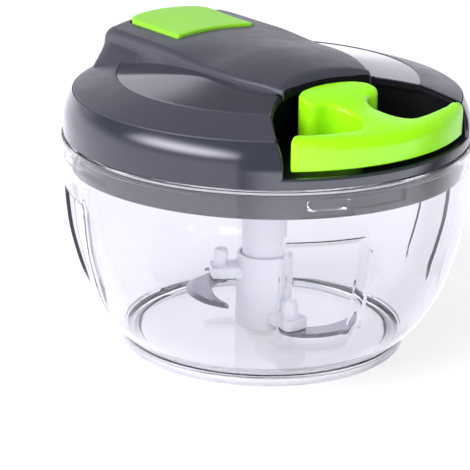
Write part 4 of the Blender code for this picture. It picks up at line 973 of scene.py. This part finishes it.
def make_spine():
    outline, window = spine_plan()
    sizes = [spine_fillet(x, y) for x, y in outline]
    inward = [
        ((mx - x) / 0.001, (my - y) / 0.001)
        for (x, y), (mx, my) in zip(outline, offset_outline(outline, 0.001))
    ]
    levels = []
    for step in range(WALL_STEPS):
        share = step / WALL_STEPS
        levels.append([spine_wall(x, y, size, share) for (x, y), size in zip(outline, sizes)])
    for step in range(8):
        angle = math.pi / 2 * step / 7
        ring = []
        for (x, y), (nx, ny), size in zip(outline, inward, sizes):
            shift = size * (1 - math.cos(angle))
            x1, y1 = x + nx * shift, y + ny * shift
            ring.append((x1, y1, hump_height(x1, y1) - size * (1 - math.sin(angle))))
        levels.append(ring)
    last = levels[-1]
    for step in range(1, 27):
        places = [mix(start, end, step / 26) for start, end in zip(last, window)]
        levels.append([(x, y, hump_height(x, y)) for x, y in places])
    edge = levels[-1]
    for depth in (0.0001, COVER_WALL):
        levels.append([(x * 0.9995, y, z - depth) for x, y, z in edge])
    inset = [(x + nx * 0.0016, y + ny * 0.0016) for (x, y), (nx, ny) in zip(outline, inward)]
    levels.append([(x, y, hump_height(x, y) - COVER_WALL - 0.0004) for x, y in inset])
    bm = bmesh.new()
    rows = [[bm.verts.new(point) for point in level] for level in levels]
    # The lip's wall and lower rounding at the recess take the near black painted shade.
    for level, (near, far) in enumerate(zip(rows, rows[1:] + rows[:1])):
        for (x, y), face in zip(outline, quads(bm, near, far)):
            in_lip = abs(x) < LIP_HALF_WIDTH and y < LIP_REAR
            face.material_index = int(in_lip and level < WALL_STEPS + 2)
    spine = link("lid_spine", mesh_from(bm, "lid_spine"), "matte_grey", "recess_painted_shade")
    put(smooth(spine, 38.0), "lid", "matte_grey")


def make_button():
    outline = subdivided(button_outline(0.0), 0.0012)

    def top(x, y):
        return hump_height(x, y) + BUTTON_PROUD + 0.0005 * ease((y - 0.0350) / 0.0200)

    def middle(_, y):
        return 0.0, min(max(y, 0.0340), 0.0420)

    mesh = crown("release_button_cap", outline, top, 0.0006, BUTTON_FOOT, centre=middle)
    button = smooth(link("release_button_cap", mesh, "button_green"), 35.0)
    put(button, "button", "lime_plastic", "release_button")


# The lid body


def band_profiles():
    top_radius, foot_radius = COVER_RADIUS + 0.00025, BAND_RADIUS + 0.00003
    outer = [(COVER_RADIUS + 0.0002, CREASE_HEIGHT - 0.0010)]
    for step in range(15):
        down = step / 14
        across = 1.0 - (1.0 - down) ** 2.2
        radius = top_radius + (foot_radius - top_radius) * across
        outer.append((radius, BAND_TOP - 0.0095 * down))
    outer.append((foot_radius, FLANGE_BOTTOM))
    inner = [(COVER_RADIUS - 0.0020, min(z - 0.0002, CREASE_HEIGHT - 0.0020)) for _, z in outer]
    return outer, inner


def lock_shape(angle, radius, height):
    if radius < SKIRT_RADIUS - 0.0002 or height > 0.0666:
        return radius, height
    place = past_tab(angle)
    end = TAB_HALF_ANGLE + LOCK_PLAY
    notch = abs(place) < end and height < 0.0654
    channel = -LOCK_PLAY < place < end + TWIST_ANGLE and 0.0613 < height < 0.0654
    return (radius - 0.00135 if notch or channel else radius), height


def make_band():
    outer, inner = band_profiles()
    # The band's ends at the recess take the near black painted shade.
    mesh = open_ring("lid_band", outer, inner, 0.0012, 1)
    band = smooth(link("lid_band", mesh, "gloss_grey", "recess_painted_shade"), 40.0)
    put(bevel(band, 0.00035), "lid", "gloss_grey", "lid_body")


def make_skirt():
    """The deck and the skirt with its bayonet channels, stepped where they begin and end."""
    groove = SKIRT_RADIUS - 0.0014
    profile = [(BAND_RADIUS - 0.0019, DECK_TOP - 0.0003), (BAND_RADIUS, DECK_TOP - 0.0003, 0.0005)]
    profile += [(BAND_RADIUS, FLANGE_BOTTOM, 0.0003), (groove, FLANGE_BOTTOM), (groove, 0.0662)]
    profile = rounded_profile(profile, closed=False)
    profile += [(SKIRT_RADIUS - 0.0002, 0.0662)]
    heights = (0.0660, 0.0655, 0.06535, 0.0634, 0.06135, 0.06125, 0.0603, 0.0597)
    profile += [(SKIRT_RADIUS, z) for z in heights]
    profile += [(SKIRT_RADIUS - 0.00015, 0.0593), (SKIRT_RADIUS - 0.0005, SKIRT_BOTTOM)]
    profile += [(SKIRT_INNER, SKIRT_BOTTOM), (SKIRT_INNER, DECK_BOTTOM), (0.0083, DECK_BOTTOM)]
    profile += [(0.0083, DECK_TOP - 0.0003)]
    angles = {round(2 * math.pi * i / SEGMENTS, 6) for i in range(SEGMENTS)}
    end = TAB_HALF_ANGLE + LOCK_PLAY
    for i in range(4):
        middle = TAB_ANGLE + i * TAB_PITCH
        for side in (-end, -LOCK_PLAY, end, end + TWIST_ANGLE):
            steps = (middle + side - 0.0006, middle + side + 0.0006)
            angles |= {round(angle % (2 * math.pi), 6) for angle in steps}
    mesh = lathe("lid_skirt", profile, shape=lock_shape, angles=sorted(angles))
    skirt = link("lid_skirt", mesh, "gloss_grey", "recess_painted_shade")
    # The deck's top inside the band takes the near black painted shade of the recess.
    for face in skirt.data.polygons:
        if face.center.z > DECK_TOP - 0.0004 and math.hypot(*face.center[:2]) < 0.0622:
            face.material_index = 1
    hole = [(0.0, 0.068), (STEM_HOLE_RADIUS, 0.068), (STEM_HOLE_RADIUS, 0.074), (0.0, 0.074)]
    boolean(skirt, shifted(lathe("stem_hole", hole, 32, closed=False), STEM_PLACE))
    put(smooth(skirt, 35.0), "lid", "gloss_grey")


def make_recess_walls():
    """A thin upright wall along the back and the sides of the recess."""
    half = [point for point in recess_edge(RECESS_LIP) if math.hypot(*point) < 0.0480]
    half += [polar(r, RECESS_HALF_ANGLE) for r in (0.0500, 0.0560, 0.0612)]
    path = [(-x, y) for x, y in reversed(half[1:])] + half
    levels = []
    for i, (x, y) in enumerate(path):
        a, b = Vector(path[max(i - 1, 0)]), Vector(path[min(i + 1, len(path) - 1)])
        way = (b - a).normalized()
        near, far = ((x - way.y * shift, y + way.x * shift) for shift in (0.0, 0.0016))
        tops = [min(base_height(math.hypot(*place)) - 0.0021, 0.0920) for place in (near, far)]
        foot = DECK_TOP - 0.0008
        levels.append([(*near, foot), (*near, tops[0]), (*far, tops[1]), (*far, foot)])
    # The walls are coloured near black as painted shade.
    walls = link("recess_walls", solid("recess_walls", levels), "recess_painted_shade")
    put(smooth(walls, 35.0), "lid", "gloss_grey")


def make_seal():
    profile = [(0.06185, 0.0683, 0.0004), (0.06225, 0.0674, 0.0004), (0.06185, 0.0665, 0.0004)]
    profile += [(0.0609, 0.0665, 0.0002), (0.0609, 0.0683, 0.0002)]
    mesh = lathe("seal_band", rounded_profile(profile, 0.0003))
    put(smooth(link("seal_band", mesh, "silicone"), 50.0), "seal", "seal_silicone", "seal_ring")


# The handle


def handle_outline():
    """An anchor in plan: a bar along the lid's edge, a narrow neck and an arched inner boss."""
    outer = [(*point, 0.0) for point in arc(BAR_RADIUS, 0.0, BAR_HALF_ANGLE, 40)]
    outer[-1] = (*outer[-1][:2], 0.0010)
    outer.append((0.0314, -0.0494, 0.0014))
    neck = [(0.0270, -0.0517), (0.0205, -0.0533), (0.0150, -0.0543), (0.0105, -0.0545)]
    neck += [(0.0073, -0.0524), (0.0053, -0.0490), (0.0046, -0.0450), (0.0055, -0.0407)]
    neck += [(0.0080, -0.0378), (0.0126, -0.0370)]
    boss = [(0.0142, -0.0354, 0.0010), (0.0142, -0.0308, 0.0014)]
    boss += [(0.0105, -0.0280, 0.0040), (0.0050, -0.0267, 0.0060)]
    half = outer + [(x, y, 0.0) for x, y in catmull(neck, 6)] + boss
    points = half + [(0.0, -0.0264, 0.0)] + [(-x, y, r) for x, y, r in reversed(half[1:])]
    return rounded_profile(points, steps=6)


def handle_top(_, y):
    return HANDLE_TOP + HANDLE_SLOPE * (y + 0.030) + 0.0009 * ease((y + 0.0440) / 0.0120)


def handle_edge(x, y):
    """The top edge is rounder along the front of the bar and on the finger side of the boss."""
    front = ease((math.hypot(x, y) - 0.0590) / 0.0030)
    finger = ease((-0.0345 - y) / 0.0015) * ease((y + 0.0480) / 0.0040)
    tip = ease((abs(x) - 0.0240) / 0.0060)
    return 0.0008 + 0.0018 * front * (1 - 0.55 * tip) + 0.0007 * finger + 0.0005 * tip


def box_outline(half_width, front, rear):
    return [(-half_width, front), (half_width, front), (half_width, rear), (-half_width, rear)]


def make_handle():
    outline = softened(counter_clockwise(handle_outline()), 0.0005, 9)
    mesh = crown("handle_grip", outline, handle_top, handle_edge, BAR_BOTTOM, foot_fillet=0.0006)
    handle = link("handle_grip", triangulated(mesh), "lime")
    boss = offset_outline([(x, y) for x, y in outline if y > -0.0392], 0.00002)
    boss = crown("boss", boss, lambda x, y: 0.0800, 0.0001, 0.0723)
    boolean(handle, triangulated(boss), "UNION")
    boolean(handle, prism("pocket", box_outline(0.0024, -0.0318, -0.0270), 0.0713, 0.0847))
    boolean(handle, prism("slot", box_outline(0.0013, -0.0280, -0.0226), 0.0713, 0.0836))
    put(smooth(handle, 35.0), "handle", "lime_plastic", "pull_handle")


# The blade unit and its drive


def turned_mesh(mesh, degrees):
    mesh.transform(Matrix.Rotation(math.radians(degrees), 4, "Z"))
    return mesh


def blade_outline():
    outer = [(-16, 0.0168), (-4, 0.0215), (10, 0.0258), (26, 0.0290), (44, 0.0310), (60, 0.0310)]
    inner = [(46, 0.0262), (30, 0.0212), (16, 0.0162), (7, 0.0120)]
    inner += [(-3, 0.0104), (-14, 0.0108), (-20, 0.0135)]
    corners = [polar(radius, math.radians(angle)) for angle, radius in outer + inner]
    ring = corners[-1:] + corners + corners[:2]
    return catmull(ring, 9)[9:-10]


def blade_mesh(name, bottom):
    """A flat blade whose outer edge is ground to a slope on top."""
    outline = counter_clockwise(blade_outline())
    top = bottom + BLADE_THICKNESS
    low, mid, high = [], [], []
    for (x, y), (ix, iy) in zip(outline, offset_outline(outline, 0.0001)):
        radius = math.hypot(x, y)
        nx, ny = (ix - x) / 0.0001, (iy - y) / 0.0001
        facing = max(-(nx * x + ny * y) / radius, 0.0)
        grind = 0.0017 * ease((radius - 0.0150) / 0.0060) * ease(facing / 0.5)
        low.append((x, y, bottom))
        mid.append((x, y, top - 0.00085 * ease(grind / 0.0008)))
        high.append((x + nx * grind, y + ny * grind, top))
    return solid(name, [low, mid, high])


def make_blades():
    for level, (bottom, degrees) in BLADES.items():
        name = "blade_%s_ground" % level
        blade = link(name, turned_mesh(blade_mesh(name, bottom), degrees), "blade_steel")
        put(smooth(blade, 20.0), "blade_unit", "steel", "blade_" + level)

        top = bottom - 0.0003
        profile = [(0.0, top - 0.0008), (0.0016, top - 0.0008), (0.0024, top - 0.0004)]
        profile += [(0.0024, top), (0.0014, top), (0.0014, bottom + 0.0036), (0.0, bottom + 0.0036)]
        name = "rivet_%s_head" % level
        mesh = shifted(lathe(name, profile, 40, closed=False), -RIVET_PLACE)
        rivet = smooth(link(name, turned_mesh(mesh, degrees), "steel"), 30.0)
        put(rivet, "blade_unit", "steel", "blade_rivet_" + level)


def hub_arm(name, bottom):
    """An arm with the peg that stands on its end."""
    shape = [(x, y, 0.0) for x, y in arc(0.0176, -0.24, 0.24, 12)]
    for end in (0, -1):
        shape[end] = (*shape[end][:2], 0.0012)
    shape += [(0.0046, -0.0075, 0.0), (-0.0046, -0.0075, 0.0)]
    outline = subdivided(counter_clockwise(rounded_profile(shape, steps=6)), 0.0012)
    arm = crown(name, outline, lambda x, y: bottom + 0.0035, 0.0007, bottom, foot_fillet=0.0003)
    top = bottom + 0.0090
    peg = [(0.0, bottom + 0.0020), (0.0022, bottom + 0.0020), (0.0022, top, 0.0008), (0.0, top)]
    peg = lathe("peg", rounded_profile(peg, steps=6, closed=False), 48, closed=False)
    fillet = [(0.0022, bottom + 0.0030), (0.0030, bottom + 0.0030), (0.0030, bottom + 0.0036)]
    fillet += [(0.0025, bottom + 0.0039), (0.0022, bottom + 0.0044)]
    on_end = [shifted(mesh, -RIVET_PLACE) for mesh in (peg, lathe("fillet", fillet, 48))]
    return join_meshes(name, [arm, *on_end])


def make_hub():
    profile = [(HUB_RADIUS - 0.0003, HUB_TOP, 0.0008), (HUB_RADIUS, 0.0039, 0.0005)]
    profile += [(0.0052, 0.0039, 0.0003), (0.0052, 0.0160, 0.0)]
    profile += [(0.0076, 0.0248, 0.0), (0.0076, HUB_TOP, 0.0003)]
    mesh = lathe("hub_core", rounded_profile(profile, 0.0003), 96)
    hub = smooth(link("hub_core", mesh, "white"), 40.0)
    put(hub, "blade_unit", "white_plastic", "blade_hub")
    for level, (blade_bottom, degrees) in BLADES.items():
        name = "hub_arm_" + level
        mesh = turned_mesh(hub_arm(name, blade_bottom + 0.0013), degrees)
        put(smooth(link(name, mesh, "white"), 40.0), "blade_unit", "white_plastic")


def make_shaft():
    profile = [(0.0, 0.0733), (SHAFT_RADIUS, 0.0733, 0.0004)]
    profile += [(SHAFT_RADIUS, 0.0256, 0.0006), (0.0, 0.0256)]
    profile = rounded_profile(profile, steps=4, closed=False)
    mesh = lathe("drive_column", profile, 96, closed=False)
    column = smooth(link("drive_column", mesh, "white"), 40.0)
    put(column, "drive", "white_plastic", "drive_shaft")


# The cord


def tube(name, points, radius):
    turns = [2 * math.pi * k / TUBE_SIDES for k in range(TUBE_SIDES)]
    levels = []
    for i, point in enumerate(points):
        ahead = Vector(points[min(i + 1, len(points) - 1)]) - Vector(points[max(i - 1, 0)])
        across = ahead.cross(Vector((0.0, 0.0, 1.0))).normalized()
        up = across.cross(ahead).normalized()
        ways = [across * math.cos(turn) + up * math.sin(turn) for turn in turns]
        levels.append([Vector(point) + radius * way for way in ways])
    return solid(name, levels)


def make_cord():
    route = [(0.0155, 0.0030), (0.0128, -0.0100), (0.0070, -0.0178), (0.0004, -0.0209)]
    route += [(0.0, -0.0222)]
    route = catmull(route, 6) + [(0.0, -0.0222 - 0.0051 * i / 24) for i in range(1, 25)]
    mesh = tube("cord_run", [(x, y, CORD_HEIGHT) for x, y in route], CORD_RADIUS)
    cord = smooth(link("cord_run", mesh, "braid"), 60.0)
    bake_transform(cord)
    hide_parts("pull_cord")


# What stays as modelled

SLOT_MATERIALS = {
    "clear_plastic": "clear", "foot_rubber": "foot", "matte_grey": "matte_grey",
    "gloss_grey": "gloss_grey", "lime_plastic": "lime", "white_plastic": "white",
    "inner_plastic": "inner", "steel": "steel", "seal_silicone": "silicone", "cord_fibre": "braid",
}


def finish_kept_nodes():
    for part in frame["record"]["subparts"]:
        material = MATERIALS[SLOT_MATERIALS[part["material_slot"]]]
        for slot in frame["nodes"][part["node"]].material_slots:
            slot.material = material


place_camera()
light_stage()
add_floor()
make_bowl()
make_foot()
make_cover()
make_spine()
make_button()
make_band()
make_skirt()
make_recess_walls()
make_seal()
make_handle()
make_blades()
make_hub()
make_shaft()
make_cord()
finish_kept_nodes()

SCENE.view_settings.view_transform = "Standard"
SCENE.render.film_transparent = False
SCENE.cycles.max_bounces = 16
SCENE.cycles.transmission_bounces = 12
SCENE.cycles.transparent_max_bounces = 12
SCENE.cycles.glossy_bounces = 6
SCENE.cycles.diffuse_bounces = 4
